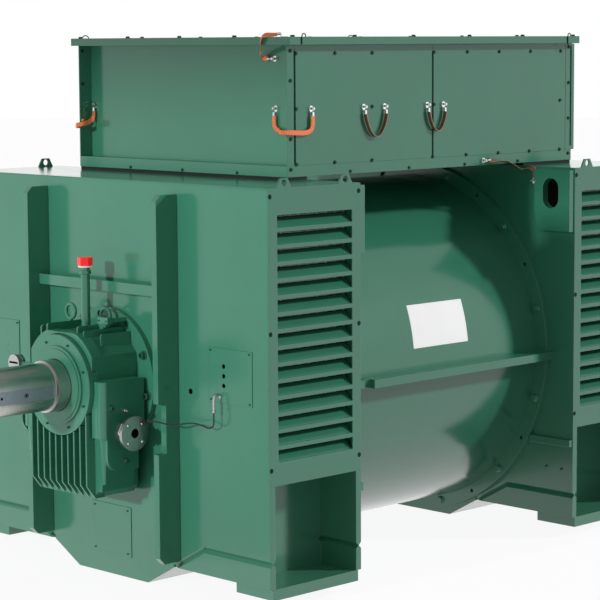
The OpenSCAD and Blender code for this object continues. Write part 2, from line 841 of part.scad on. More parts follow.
module de_front_plate() color(green) end_plate(de_y, flange_pcr - 40);
module de_back_plate() color(green) {
    end_plate(de_back - plate_t, bore_r);
    both_sides() wall_bar(de_back);
}
module nde_inner_plate() color(green) {
    end_plate(nde_y, bore_r);
    both_sides() wall_bar(nde_y - wall_bar_t);
}
module nde_outer_plate() color(green) end_plate(nde_back - plate_t, flange_pcr - 40);
module de_foot_right() color("seagreen") foot(de_y);
module de_foot_left() color("seagreen") mirror([1, 0, 0]) foot(de_y);
module nde_foot_right() color("seagreen") foot(nde_y);
module nde_foot_left() color("seagreen") mirror([1, 0, 0]) foot(nde_y);
module de_top_cover() color("mediumseagreen") top_cover(de_y);
module nde_top_cover() color("mediumseagreen") top_cover(nde_y);
module de_belly() color("darkolivegreen") belly_panel(de_y);
module nde_belly() color("darkolivegreen") belly_panel(nde_y);
module de_louvre_right() color("darkseagreen") louvre_panel(de_y);
module de_louvre_left() color("darkseagreen") mirror([1, 0, 0]) louvre_panel(de_y);
module nde_louvre_right() color("darkseagreen") louvre_panel(nde_y);
module nde_louvre_left() color("darkseagreen") mirror([1, 0, 0]) louvre_panel(nde_y);
module de_ribs() color("darkgreen") ribs_de();
module de_cross_bar() color("olivedrab") cross_bar(de_y - rib_d / 2);
module nde_ribs() color("darkgreen") translate([0, nde_back, 0]) mirror([0, 1, 0]) both_sides() rib();
module stator_frame() color("teal") drum();
module stator_rings() color("darkcyan") {
    ring(de_back);
    ring(nde_y - ring_t);
}
module side_rails() color("olivedrab") both_sides() rail();
module lifting_plates() color("olive") both_sides() {
    slab_y(de_back, lift_t) lift_outline();
    slab_y(nde_y - lift_t, lift_t) lift_outline();
}
module terminal_body() color("slategray") tbox_body();
module terminal_covers_right() color("lightslategray") tbox_side();
module terminal_covers_left() color("lightslategray") mirror([1, 0, 0]) tbox_side();
module terminal_lid() color("gray") lid();
module bearing_flange() color("forestgreen") translate([0, de_y, 0]) mount_flange();
module bearing_housing() color("limegreen") translate([0, de_y, 0]) housing();
module seal_cover() color("palegreen") translate([0, de_y, 0]) seal();
module bearing_shells() color("gold") {
    translate([0, de_y, 0]) shell();
    translate([0, nde_back, 0]) mirror([0, 1, 0]) shell();
}
module eyebolts() color("silver") {
    eyebolt([-3.5 * fin_pitch, -120], 350);
    eyebolt([1.2 * fin_pitch, -77], 341);
}
module breather_pipe() color("green") translate([0, de_y - 160, house_top]) {
    cylinder(r = breather_r, h = breather_top - cap_h - house_top);
    cylinder(r = breather_r + 12, h = 24, $fn = 6);
}
module breather_cap() color("red") translate([0, de_y - 160, breather_top - cap_h])
    rotate(-14.5) cylinder(r = cap_r, h = cap_h, $fn = 6);
module oil_flanges() color("dimgray") both_sides() {
    translate([0, de_y, 0]) oil_flange();
    translate([0, nde_back, 0]) mirror([0, 1, 0]) oil_flange();
}
module nde_bearing_housing() color("limegreen") translate([0, nde_back, 0]) mirror([0, 1, 0]) {
    mount_flange();
    housing();
}
module nde_bearing_cover() color("palegreen") translate([0, nde_back, 0]) mirror([0, 1, 0]) {
    rod_y(seal_r, -house_d - 10, fin_depth + 10, $fn = 96);
    rod_y(seal_step_r, -house_d - 10 - seal_step, seal_step + 1, $fn = 96);
}
module front_covers() color("cadetblue") {
    both_sides() difference() {
        translate([780, de_y - patch_t, -40]) cube([316, patch_t, 277]);
        for (z = [49:49:147]) translate([890, 0, z]) rod_y(8, de_y - patch_t - 1, patch_t + 2, $fn = 20);
    }
    translate([-155, de_y - patch_t, -950]) cube([310, patch_t, 270]);
}
module data_plate() color("white") intersection() {
    difference() {
        rod_y(stator_r + 2, de_back + 673, 440, $fn = 128);
        rod_y(stator_r, de_back + 600, 640, $fn = 128);
    }
    translate([0, de_back, 111]) cube([2000, core_len, 230]);
}
module shaft() color("silver") {
    r = shaft_d / 2;
    jr = journal_d / 2;
    difference() {
        union() {
            rod_y(r, -shaft_len + shaft_edge, shaft_len - shaft_edge, $fn = 96);
            translate([0, -shaft_len + shaft_edge, 0]) rotate([90, 0, 0])
                cylinder(r1 = r, r2 = r - shaft_edge, h = shaft_edge, $fn = 96);
            rotate([-90, 0, 0]) cylinder(r1 = r, r2 = jr, h = shaft_edge, $fn = 96);
            rod_y(jr, shaft_edge, nde_back + house_d - 60 - shaft_edge, $fn = 96);
        }
        rotate([0, key_turn, 0])
            translate([r - key_depth - 5, -shaft_len - 1, -key_w / 2])
                cube([key_depth + 10, key_len + 1, key_w]);
    }
}
module shaft_key() color("slateblue") rotate([0, key_turn, 0])
    translate([shaft_d / 2 - key_depth - 5, -shaft_len, -key_w / 2])
        cube([key_depth, key_len, key_w]);
module vent_fitting() color("yellowgreen") {
    x = 2.5 * fin_pitch;
    top = house_top + vent_rise;
    translate([x, de_y - 152, house_top])
        cylinder(r = (fin_pitch - fin_t) / 2 - 2, h = vent_rise, $fn = 24);
    translate([x - 18, de_y - 165, top - 16]) cube([58, 26, 18]);
    translate([x - 25, de_y - 165, top]) cube([vent_w, 26, 36]);
    translate([x + vent_w - 43, de_y, top + 16]) rod_y(13, -140, 140 - flange_t, $fn = 24);
}
module sensor_heads() color("silver") translate([0, de_y - house_d + fin_depth, head_z]) {
    translate([-head_x, 0, 0]) rod_y(head_r, -head_len / 2 + 4, head_len, $fn = 48);
    translate([-head_x, 10, 0]) rotate([0, 90, 0]) cylinder(r = 11, h = head_x - house_half, $fn = 24);
    translate([-house_half - 16, 10, 0]) rotate([0, 90, 0]) cylinder(r = 19, h = 16, $fn = 6);
}
module sensor_conduit() color("silver") {
    route = concat([for (a = [20:20:180]) entry + entry_bend * [0, 1 + cos(a), sin(a)]],
                   [entry - [0, 0, 66]]);
    sweep(route, [for (p = route) [1, 0, 0]], entry_d, entry_d, 12);
    translate([entry[0], 0, entry[2] + 9]) rod_y(entry_d * 0.8, de_y - patch_t - 8, 8, $fn = 6);
}
module strap_lugs() color("lightgray") {
    for (y = [1520, 1680, 2017, 2149, tbox_front + 172])
        translate([tbox_half, y, strap_z]) rotate([90, 0, 90]) lug();
    for (x = [675, -796]) translate([x, end_y, strap_z]) rotate([90, 0, 0]) lug();
    translate([-tbox_half, tbox_front + 30 + strap_start, strap_z - 122]) rotate([0, -90, 0]) lug();
    translate([670, end_y, lid_lug[2]]) rotate([90, 0, 0]) rotate(-90) lug();
    translate([lid_lug[0], lid_lug[1], tbox_top + lid_h]) rotate(-57) lug();
    translate([tbox_half, flange_lug_y, 1093]) rotate([90, 0, 90]) rotate(90) lug();
    translate(wall_lug) rotate([90, 0, 0]) rotate(180) lug();
}
module strap_cover_1() color("orangered") hanging_strap(1520, 1680, 158);
module strap_cover_2() color("orangered") hanging_strap(2017, 2149, 143);
module strap_corner_right() color("orangered") {
    x = tbox_half + strap_off;
    y = tbox_front;
    z = strap_z;
    panel = [0, -1, 0];
    side = [1, 0, 0];
    laid_strap([[[675, end_y - strap_off, z - strap_start], panel], [[677, end_y - strap_off, z - 75], panel],
                [[696, end_y - 18, z - 101], panel], [[745, end_y - 26, z - 112], panel],
                [[805, y + 16, z - 114], [-0.5, -1, 0]], [[tbox_half - 2, y - 12, z - 116], panel],
                [[x, y + 2, z - 118], [1, -0.5, 0]], [[x + 2, y + 70, z - 121], side],
                [[x, y + 135, z - 126], side], [[x, y + 168, z - 120], side],
                [[x, y + 178, z - 95], side], [[x, y + 173, z - 64], side],
                [[x, y + 172, z - strap_start], side]]);
}
module strap_corner_left() color("orangered") {
    x = -tbox_half;
    y = tbox_front;
    z = strap_z;
    laid_strap([[[-796, end_y - strap_off, z - strap_start], [0, -1, 0]],
                [[-797, end_y - strap_off, z - 64], [0.1, -1, 0]],
                [[-803, end_y - 24, z - 94], [0.6, -0.8, 0.3]],
                [[-812, end_y - 48, z - 112], [1, -0.3, 0]], [[x + 15, y + 10, z - 118], [1, -0.4, 0]],
                [[x + 1, y - 16, z - 120], [0, -1, 0]], [[x - strap_off, y, z - 122], [-1, -0.5, 0]],
                [[x - strap_off, y + 30, z - 122], [-1, 0, 0]]]);
}
module strap_lid() color("orangered") {
    top = tbox_top + lid_h + strap_off;
    front = tbox_front - lid_end;
    laid_strap([[[670 - strap_start, end_y - strap_off, lid_lug[2]], [0, -1, 0]],
                [[612, end_y - strap_off - 1, lid_lug[2] + 1], [0, -1, 0]],
                [[598, end_y - 40, lid_lug[2] + 24], [-0.3, -1, 0]],
                [[620, front + 20, tbox_top - 36], [-0.3, -1, -0.4]],
                [[633, front - 10, tbox_top - 12], [0, -1, 0]],
                [[656, front - 12, top - 16], [0, -1, 0.3]], [[682, front + 4, top], [0, -0.4, 1]],
                [[lid_lug[0] - (strap_start + 26) * cos(33), lid_lug[1] - (strap_start + 26) * sin(33), top],
                 [0, 0, 1]],
                [[lid_lug[0] - strap_start * cos(33), lid_lug[1] - strap_start * sin(33), top], [0, 0, 1]]]);
}
module strap_wall() color("orangered") {
    x = tbox_half + strap_off;
    y = flange_lug_y;
    wall = nde_y - strap_off;
    laid_strap([[[x, y + strap_start, 1093], [1, 0, 0]], [[x + 1, y + 95, 1092], [1, 0, 0]],
                [[x + 1, y + 165, 1085], [1, 0, 0]], [[x - 2, y + 225, 1068], [1, 0, 0]],
                [[x - 9, nde_y - 70, 1044], [1, 0, 0]], [[x - 12, nde_y - 38, 1033], [1, -0.4, 0]],
                [[x + 6, wall - 2, 1032], [0.3, -1, 0]], [[895, wall, 1040], [0, -1, 0]],
                [[926, wall, 1036], [0, -1, 0]], [[wall_lug[0], wall, 1019], [0, -1, 0]],
                [[wall_lug[0], wall, wall_lug[2] + strap_start], [0, -1, 0]]]);
}
module sensor_cable() color("black") {
    x = block_half + pipe_neck + 18;
    y = de_y - pipe_y + 50;
    low = entry - [0, 0, 66.5];
    route = [[x + 0.4, y, -172], [x + 12, y + 1, -171], [x + 40, y + 11, -166], [x + 84, y + 20, -164], [545, de_y - 112, -168],
             [592, de_y - 96, -174], [640, de_y - 80, -167], [690, de_y - 68, -156], [740, de_y - 61, -152],
             [790, de_y - 56, -156], [828, de_y - 53, -166], [854, entry[1], -166],
             [866, entry[1], -150], low - [0, 0, 28], low];
    sweep(route, [for (p = route) [0, 1, 0]], cable_d, cable_d);
}

de_front_plate();
de_back_plate();
de_foot_right();
de_foot_left();
de_top_cover();
de_belly();
de_louvre_right();
de_louvre_left();
de_ribs();
de_cross_bar();
stator_frame();
stator_rings();
side_rails();
lifting_plates();
nde_inner_plate();
nde_outer_plate();
nde_foot_right();
nde_foot_left();
nde_top_cover();
nde_belly();
nde_louvre_right();
nde_louvre_left();
nde_ribs();
terminal_body();
terminal_covers_right();
terminal_covers_left();
terminal_lid();
bearing_flange();
bearing_housing();
seal_cover();
bearing_shells();
eyebolts();
breather_pipe();
breather_cap();
oil_flanges();
nde_bearing_housing();
nde_bearing_cover();
front_covers();
data_plate();
shaft();
shaft_key();
vent_fitting();
sensor_heads();
sensor_conduit();
strap_lugs();
strap_cover_1();
strap_cover_2();
strap_corner_right();
strap_corner_left();
strap_lid();
strap_wall();
sensor_cable();
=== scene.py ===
"""Looks of the open ventilated alternator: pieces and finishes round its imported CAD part, in metres."""

import json
import logging
import math
from dataclasses import dataclass, field, replace
from enum import Enum

import bpy
import numpy as np
from mathutils import Matrix, Vector

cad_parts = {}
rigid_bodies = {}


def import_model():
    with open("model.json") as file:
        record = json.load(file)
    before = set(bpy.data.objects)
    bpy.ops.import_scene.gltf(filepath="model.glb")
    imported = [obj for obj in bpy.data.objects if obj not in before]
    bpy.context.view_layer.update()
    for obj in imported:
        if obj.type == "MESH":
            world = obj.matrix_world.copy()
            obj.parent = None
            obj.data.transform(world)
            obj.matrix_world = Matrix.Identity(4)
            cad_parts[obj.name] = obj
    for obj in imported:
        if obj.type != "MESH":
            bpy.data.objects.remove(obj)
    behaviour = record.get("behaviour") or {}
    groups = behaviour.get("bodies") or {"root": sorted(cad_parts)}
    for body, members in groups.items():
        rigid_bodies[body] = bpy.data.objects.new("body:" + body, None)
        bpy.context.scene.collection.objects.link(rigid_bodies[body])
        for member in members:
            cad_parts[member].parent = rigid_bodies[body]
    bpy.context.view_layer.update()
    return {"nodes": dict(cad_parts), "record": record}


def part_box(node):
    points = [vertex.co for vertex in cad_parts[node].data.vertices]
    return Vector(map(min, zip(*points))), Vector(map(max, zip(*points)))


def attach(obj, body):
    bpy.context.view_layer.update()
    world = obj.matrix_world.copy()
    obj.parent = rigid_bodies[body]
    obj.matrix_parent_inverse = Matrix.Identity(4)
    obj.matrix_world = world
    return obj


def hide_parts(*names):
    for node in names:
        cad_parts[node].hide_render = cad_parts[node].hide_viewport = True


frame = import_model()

LOG = logging.getLogger("alternator")
MM = 0.001
TAU = 2 * math.pi
HEXAGON = 6
X_AXIS, Y_AXIS, Z_AXIS = np.eye(3)


class Body(Enum):
    """CAD bodies that a piece may ride on."""

    MACHINE = "machine"
    ROTOR = "rotor"


class Head(Enum):
    """Kinds of screw head, by the way they are driven."""

    HEX = "hex"
    BUTTON = "button"
    SOCKET = "socket"


# ---------------------------------------------------------------- shader graphs


class Value:
    """A socket in a shader graph that takes part in Python expressions."""

    def __init__(self, graph: "Graph", socket: bpy.types.NodeSocket) -> None:
        """Keeps the socket and the graph that it belongs to."""
        self.graph = graph
        self.socket = socket

    def _math(self, operation: str, *terms: "Value | float") -> "Value":
        """Adds one Math node.

        Args:
            operation: the Math node's operation.
            terms: its operands, as values or plain numbers.

        Returns:
            The node's result.
        """
        inputs = dict(enumerate(terms))
        return self.graph.node("ShaderNodeMath", {"operation": operation}, inputs)

    def __add__(self, other: "Value | float") -> "Value":
        """Sum."""
        return self._math("ADD", self, other)

    __radd__ = __add__

    def __sub__(self, other: "Value | float") -> "Value":
        """Difference."""
        return self._math("SUBTRACT", self, other)

    def __rsub__(self, other: float) -> "Value":
        """Difference from a number."""
        return self._math("SUBTRACT", other, self)

    def __mul__(self, other: "Value | float") -> "Value":
        """Product."""
        return self._math("MULTIPLY", self, other)

    __rmul__ = __mul__

    def __truediv__(self, other: "Value | float") -> "Value":
        """Quotient."""
        return self._math("DIVIDE", self, other)

    def __rtruediv__(self, other: float) -> "Value":
        """A number over this value."""
        return self._math("DIVIDE", other, self)

    def __pow__(self, power: float) -> "Value":
        """Power."""
        return self._math("POWER", self, power)

    def __gt__(self, limit: "Value | float") -> "Value":
        """1 where this value is above the limit, else 0."""
        return self._math("GREATER_THAN", self, limit)

    def sine(self) -> "Value":
        """Sine of this value in radians."""
        return self._math("SINE", self)

    def size(self) -> "Value":
        """This value without its sign."""
        return self._math("ABSOLUTE", self)

    def higher(self, other: "Value | float") -> "Value":
        """The higher one of this value and another."""
        return self._math("MAXIMUM", self, other)

    def clamped(self) -> "Value":
        """This value kept between 0 and 1."""
        return self.graph.node("ShaderNodeClamp", {}, {"Value": self})


class Graph:
    """A material's node tree and the one method that adds nodes to it."""

    def __init__(self, tree: bpy.types.NodeTree) -> None:
        """Empties the tree."""
        self.tree = tree
        self.tree.nodes.clear()

    def node(self, kind: str, settings: dict, inputs: dict, out: "int | str" = 0) -> Value:
        """Adds a node.

        Args:
            kind: the node's type name.
            settings: its own properties, such as a Math node's operation.
            inputs: socket name or number to a Value, a number or a tuple.
            out: name or number of the output that is handed back.

        Returns:
            The chosen output.
        """
        made = self.tree.nodes.new(kind)
        for key, setting in settings.items():
            setattr(made, key, setting)
        for key, term in inputs.items():
            if isinstance(term, Value):
                self.tree.links.new(term.socket, made.inputs[key])
            else:
                made.inputs[key].default_value = term
        return Value(self, made.outputs[out]) if len(made.outputs) else Value(self, None)

    def noise(self, coords: Value, scale: float, detail: float = 3, rough: float = 0.5) -> Value:
        """Noise of about 0 to 1.

        Args:
            coords: where it is read.
            scale: features a metre.
            detail: octaves of finer noise.
            rough: strength of each finer octave.

        Returns:
            The noise.
        """
        return self.node(
            "ShaderNodeTexNoise", {}, {"Vector": coords, "Scale": scale, "Detail": detail, "Roughness": rough}
        )

    def blend(self, share: "Value | float", low: "Value | tuple", high: "Value | tuple") -> Value:
        """Colour between low and high by share."""
        inputs = {0: share, 6: _rgba(low), 7: _rgba(high)}
        return self.node("ShaderNodeMix", {"data_type": "RGBA"}, inputs, 2)

    def objects(self) -> Value:
        """Object coordinates, which are the part's own metres."""
        return self.node("ShaderNodeTexCoord", {}, {}, "Object")

    def axis(self, coords: Value, name: str) -> Value:
        """One axis of a vector."""
        return self.node("ShaderNodeSeparateXYZ", {}, {0: coords}, name)

    def stretched(self, coords: Value, scale: tuple) -> Value:
        """Coordinates scaled along each axis."""
        return self.node("ShaderNodeMapping", {}, {"Vector": coords, "Scale": scale})

    def bump(self, height: Value, distance: float, strength: float, normal: "Value | None" = None) -> Value:
        """Normal bent by a height field.

        Args:
            height: the field, of about 0 to 1.
            distance: its depth in metres.
            strength: share of the full effect.
            normal: the normal that is bent, or none for the mesh's own.

        Returns:
            The new normal.
        """
        inputs = {"Height": height, "Distance": distance, "Strength": strength}
        if normal is not None:
            inputs["Normal"] = normal
        return self.node("ShaderNodeBump", {}, inputs)

    def round_edges(self, radius: float) -> Value:
        """Normal softened across sharp edges, as paint and deburring leave them."""
        return self.node("ShaderNodeBevel", {"samples": 4}, {"Radius": radius})

    def surface(self, fixed: dict, varying: dict) -> None:
        """Ends the graph in a Principled shader.

        Args:
            fixed: plain socket values.
            varying: sockets that change over the surface.
        """
        shader = self.node("ShaderNodeBsdfPrincipled", {}, {**fixed, **varying})
        self.node("ShaderNodeOutputMaterial", {}, {"Surface": shader})


def _rgba(colour: "Value | tuple") -> "Value | tuple":
    """A plain colour with its alpha, or the value as it is."""
    return colour if isinstance(colour, Value) else (*colour, 1)


def shaded(colour: tuple, share: float) -> tuple:
    """A plain colour made darker by a share under 1, or lighter by one over 1."""
    return tuple(min(1.0, share * c) for c in colour)


# ---------------------------------------------------------------- finishes


@dataclass(frozen=True)
class Finish:
    """What every finish has: a name and the CAD slot that it belongs to."""

    name: str
    slot: str

    def material(self) -> bpy.types.Material:
        """The finish as a material, made the first time that it is asked for.

        Returns:
            The material of the finish's name.
        """
        made = bpy.data.materials.get(self.name)
        if made is None:
            made = bpy.data.materials.new(self.name)
            made.use_nodes = True
            self.paint(Graph(made.node_tree))
        return made

    def paint(self, graph: Graph) -> None:
        """Fills the graph; each kind of finish has its own way."""
        raise NotImplementedError


@dataclass(frozen=True)
class Enamel(Finish):
    """Sprayed gloss paint: orange peel, a slight drift of colour, and a paler, greyer, rougher tone low down.
    """

    colour: tuple = (0.06, 0.30, 0.186)
    gloss: float = 0.12
    peel: float = 0.5
    grain: float = 320
    edge: float = 0.004
    # glow: strength of an emission of the base colour, painted light that makes a part glow though it is no
    # lamp
    glow: float = 0.0
    ior: float = 1.55
    pale_line: float = -0.55
    pale_rise: float = 1.6
    pale_cover: float = 0.3
    pale_colour: tuple = (0.30, 0.36, 0.32)

    def paint(self, graph: Graph) -> None:
        """Colour drift, orange peel bump, sheet waviness and rounded edges.

        Args:
            graph: the material's graph, which is filled.
        """
        coords = graph.objects()
        drift = graph.noise(coords, scale=2.2, detail=4, rough=0.6)
        specks = graph.noise(coords, scale=60, detail=3, rough=0.7)
        # Paler, greyer and rougher towards the bottom, below pale_line.
        low = ((self.pale_line - graph.axis(coords, "Z")) * self.pale_rise).clamped()
        paleness = low * drift * self.pale_cover
        base = graph.blend(drift, shaded(self.colour, 0.90), shaded(self.colour, 1.08))
        base = graph.blend(paleness, base, self.pale_colour)
        rough = self.gloss + drift * 0.06 + (specks - 0.5) * 0.05 + paleness * 0.25
        skin = graph.noise(coords, scale=self.grain, detail=1, rough=0.4)
        sheet = graph.noise(coords, scale=3.5, detail=1, rough=0.3)
        rounded = graph.round_edges(self.edge)
        peel = graph.bump(skin, distance=0.0006, strength=self.peel * 0.2, normal=rounded)
        wave = graph.bump(sheet, distance=0.02, strength=0.05, normal=peel)
        # The emission at glow strength is painted light.
        graph.surface(
            {"IOR": self.ior, "Emission Strength": self.glow},
            {"Base Color": base, "Roughness": rough, "Normal": wave, "Emission Color": base},
        )


@dataclass(frozen=True)
class Turned(Finish):
    """Bare steel turned on a lathe about the Y axis: fine rings, oil stains, a satin sheen."""

    colour: tuple = (0.47, 0.455, 0.44)
    gloss: float = 0.21
    ring_scale: tuple = (0.5, 900, 0.5)
    band_scale: tuple = (0.3, 22, 0.3)
    edge: float = 0.002
    shoulder_r: float = 0.1256
    shoulder_y: float = 0.0085
    # Colour and sharpness of the dark fans, a painted reflection on the faced shoulder.
    shoulder_reflection_shade: tuple = (0.10, 0.085, 0.075)
    reflection_fan_power: float = 2.5

    def paint(self, graph: Graph) -> None:
        """Fine rings along Y, blotchy roughness, rounded edges, and dark fans on the faced shoulder, a
        painted reflection of its turning streaks.

        The fans are (x^2 / (x^2 + z^2)) to a power, on what lies outside the shoulder's radius and ahead of
        its back.

        Args:
            graph: the material's graph, which is filled.
        """
        coords = graph.objects()
        x, y, z = (graph.axis(coords, name) for name in "XYZ")
        round_2 = x * x + z * z
        # Painted reflection: dark fans, strongest to the left and right of the axis.
        reflection_fan = ((x * x) / round_2) ** self.reflection_fan_power
        reflection_fan = reflection_fan * (round_2 > self.shoulder_r**2) * (1 - (y > self.shoulder_y))
        rings = graph.noise(graph.stretched(coords, self.ring_scale), scale=1, detail=2, rough=0.6)
        bands = graph.noise(graph.stretched(coords, self.band_scale), scale=1, detail=2, rough=0.5)
        stains = graph.noise(coords, scale=9, detail=5, rough=0.65)
        base = graph.blend(stains * 0.4 + bands * 0.6, shaded(self.colour, 0.84), shaded(self.colour, 1.14))
        base = graph.blend(reflection_fan, base, self.shoulder_reflection_shade)
        rough = self.gloss + stains * 0.04 + rings * 0.03
        rounded = graph.round_edges(self.edge)
        normal = graph.bump(rings, distance=0.0004, strength=0.16, normal=rounded)
        graph.surface({"Metallic": 1.0}, {"Base Color": base, "Roughness": rough, "Normal": normal})


@dataclass(frozen=True)
class Machined(Finish):
    """Plated or ground metal of a small fitting: fine scratches and a little dulling."""

    colour: tuple = (0.6, 0.6, 0.6)
    gloss: float = 0.28
    scratch: float = 0.2
    scratch_scale: tuple = (1400, 160, 1400)
    edge: float = 0.0012
    metal: float = 1.0
    sprayed: tuple = ()

    def paint(self, graph: Graph) -> None:
        """Crossing scratches and soft blotches, with paint over them between two places along X.

        Args:
            graph: the material's graph, which is filled.
        """
        coords = graph.objects()
        lines = graph.noise(graph.stretched(coords, self.scratch_scale), scale=1, detail=2, rough=0.5)
        blots = graph.noise(coords, scale=70, detail=4, rough=0.6)
        base = graph.blend(blots, shaded(self.colour, 0.8), shaded(self.colour, 1.12))
        rough = self.gloss + (blots - 0.4) * 0.2
        rounded = graph.round_edges(self.edge)
        normal = graph.bump(lines, distance=0.0003, strength=self.scratch, normal=rounded)
        varying = {"Base Color": base, "Roughness": rough, "Normal": normal}
        if not self.sprayed:
            graph.surface({"Metallic": self.metal}, varying)
            return
        x = graph.axis(coords, "X")
        bare = 1 - (x > self.sprayed[0]) * (1 - (x > self.sprayed[1]))
        base = graph.blend(bare, GREEN.colour, base)
        graph.surface({}, {**varying, "Metallic": bare * self.metal, "Base Color": base})


@dataclass(frozen=True)
class Moulded(Finish):
    """Moulded plastic or rubber: a fine skin grain and rubbed patches."""

    colour: tuple = (0.8, 0.02, 0.02)
    gloss: float = 0.3
    grain: float = 900
    depth: float = 0.15
    edge: float = 0.002
    # glow: strength of an emission of the base colour, painted light that makes a part glow though it is no
    # lamp
    glow: float = 0.0
    ior: float = 1.5

    def paint(self, graph: Graph) -> None:
        """Skin grain bump over a slightly uneven colour.

        Args:
            graph: the material's graph, which is filled.
        """
        coords = graph.objects()
        skin = graph.noise(coords, scale=self.grain, detail=2, rough=0.6)
        rub = graph.noise(coords, scale=26, detail=4, rough=0.6)
        base = graph.blend(rub, shaded(self.colour, 0.86), shaded(self.colour, 1.06))
        rough = self.gloss + rub * 0.12
        rounded = graph.round_edges(self.edge)
        normal = graph.bump(skin, distance=0.0004, strength=self.depth, normal=rounded)
        # The emission at glow strength is painted light.
        graph.surface(
            {"IOR": self.ior, "Emission Strength": self.glow},
            {"Base Color": base, "Roughness": rough, "Normal": normal, "Emission Color": base},
        )


@dataclass(frozen=True)
class Braid(Finish):
    """Flat plaited copper in an orange sheath, its plait running along the piece's own UV map."""

    colour: tuple = (0.95, 0.20, 0.055)
    # Painted highlight and wear on the strands' crowns, and a painted highlight along the band's edges.
    crown_highlight_and_wear: tuple = (0.95, 0.50, 0.36)
    rim_highlight_colour: tuple = (0.95, 0.62, 0.52)
    pitch: float = 260
    turns: float = 9
    metal: float = 0.45
    # glow: strength of an emission of the base colour, painted light that makes the plait glow though it is
    # no lamp
    glow: float = 0.15
    # rim: share of the painted highlight along the band's edges
    rim: float = 0.0

    def paint(self, graph: Graph) -> None:
        """Two sets of slanting strands that cross, with painted shade between them, painted highlight and
        wear on their crowns, and a painted highlight along the band's edges.

        Args:
            graph: the material's graph, which is filled.
        """
        uv = graph.node("ShaderNodeUVMap", {}, {})
        along = graph.axis(uv, "X") * self.pitch
        across = graph.axis(uv, "Y") * (self.turns * TAU)
        left = (along + across).sine() * 0.5 + 0.5
        right = (along - across).sine() * 0.5 + 0.5
        crown = left.higher(right)
        wear_and_highlight = graph.noise(graph.objects(), scale=55, detail=4, rough=0.65)
        # Painted shade in the valleys between the strands, then painted highlight and wear on the crowns.
        base = graph.blend(crown, shaded(self.colour, 0.42), self.colour)
        base = graph.blend(crown * wear_and_highlight * 0.35, base, self.crown_highlight_and_wear)
        # Painted highlight along both edges of the band.
        edge = (graph.axis(uv, "Y") * TAU + math.pi / 2).sine().size() ** 5
        base = graph.blend(edge * self.rim, base, self.rim_highlight_colour)
        normal = graph.bump(crown, distance=0.0008, strength=0.6)
        # The emission at glow strength is painted light.
        graph.surface(
            {"IOR": 1.5, "Metallic": self.metal, "Emission Strength": self.glow},
            {"Base Color": base, "Roughness": 0.46 - crown * 0.16, "Normal": normal, "Emission Color": base},
        )


GREEN = Enamel("green_gloss", "green_paint")
CAST = Enamel("green_over_casting", "green_cast", gloss=0.26, peel=1.0, grain=190, edge=0.006)
# The paint made darker on screws and plugs, as painted shade.
SCREW_GREEN_SHADED = Enamel("screw_green_painted_shade", "green_cast", colour=(0.03, 0.15, 0.095), gloss=0.3, edge=0.0008)
# Still darker screw green, as deeper painted shade on the heads.
SCREW_HEADS_DEEP_SHADED = replace(SCREW_GREEN_SHADED, name="screw_heads_painted_deep_shade", colour=(0.014, 0.075, 0.050), ior=1.3)
# Near-black green: painted shade in the cover seams, on the covers' rear corners and on the flush panel
# screws.
SHADE_GREEN = Enamel(
    "painted_shade_green", "green_cast", colour=(0.004, 0.030, 0.020), gloss=0.5, edge=0.0005, ior=1.2
)
# The white plate glows with painted light.
WHITE = Enamel(
    "white_plate_enamel", "white_plate", colour=(0.90, 0.90, 0.90), gloss=0.22, edge=0.001, glow=0.4
)
STEEL = Turned("turned_steel", "machined_steel")
KEY = Machined("ground_key_steel", "key_steel", colour=(0.30, 0.32, 0.38), gloss=0.3)
BRONZE = Machined("bearing_bronze", "bearing_metal", colour=(0.55, 0.43, 0.22), gloss=0.32)
BRASS = Machined("yellow_brass", "bearing_metal", colour=(0.80, 0.56, 0.22), gloss=0.25)
FITTING = Machined("bright_fitting_steel", "steel_fittings", colour=(0.52, 0.52, 0.51), gloss=0.3)
FLANGE = replace(FITTING, name="flange_steel", sprayed=(-2, 0))
HEAD = replace(FITTING, name="sensor_head_steel", sprayed=(-0.373, 0.373))
GALVANISED = Machined("galvanised_wire", "steel_fittings", colour=(0.42, 0.40, 0.37), gloss=0.5, metal=0.6)
ZINC = Machined("zinc_plated_screws", "steel_fittings", colour=(0.66, 0.66, 0.64), gloss=0.25)
# Blackened steel of the key screws' rims, and painted shade in the holes of the shaft end.
BLACKENED_STEEL_AND_HOLE_SHADE = Machined("blackened_steel_and_hole_shade", "steel_fittings", colour=(0.05, 0.05, 0.05), gloss=0.4, metal=0.8)
TINNED = Machined("tinned_lug_metal", "tinned_lug", colour=(0.82, 0.82, 0.82), gloss=0.2, scratch=0.1)
# The orange plait is the lit copy, with its painted glow; the brown one is the same plait in painted shade,
# with a painted highlight on its edges.
PLAIT = Braid("orange_plait", "copper_braid")
PLAIT_IN_SHADE = Braid("plait_painted_shade", "copper_braid", colour=(0.34, 0.085, 0.04), metal=0.3, glow=0.0, rim=0.9)
# The red cap and the white nylon glow with painted light.
RED = Moulded("red_cap_plastic", "red_cap", colour=(0.92, 0.012, 0.012), gloss=0.22, glow=0.4)
NYLON = Moulded("white_nylon", "white_plate", colour=(0.9, 0.9, 0.88), gloss=0.3, glow=0.15)
SHEATH = Moulded("dark_cable_sheath", "dark_cable", colour=(0.035, 0.04, 0.038), gloss=0.4, grain=1500)
RUBBER = Moulded("black_seal_rubber", "dark_cable", colour=(0.015, 0.017, 0.016), gloss=0.6, grain=700)
# Near-black sheet behind the louvres: painted shade of the boxes' insides.
INSIDE_SHADE = Moulded(
    "painted_inside_shade", "dark_cable", colour=(0.010, 0.010, 0.010), gloss=0.9, grain=400, depth=0.5
)
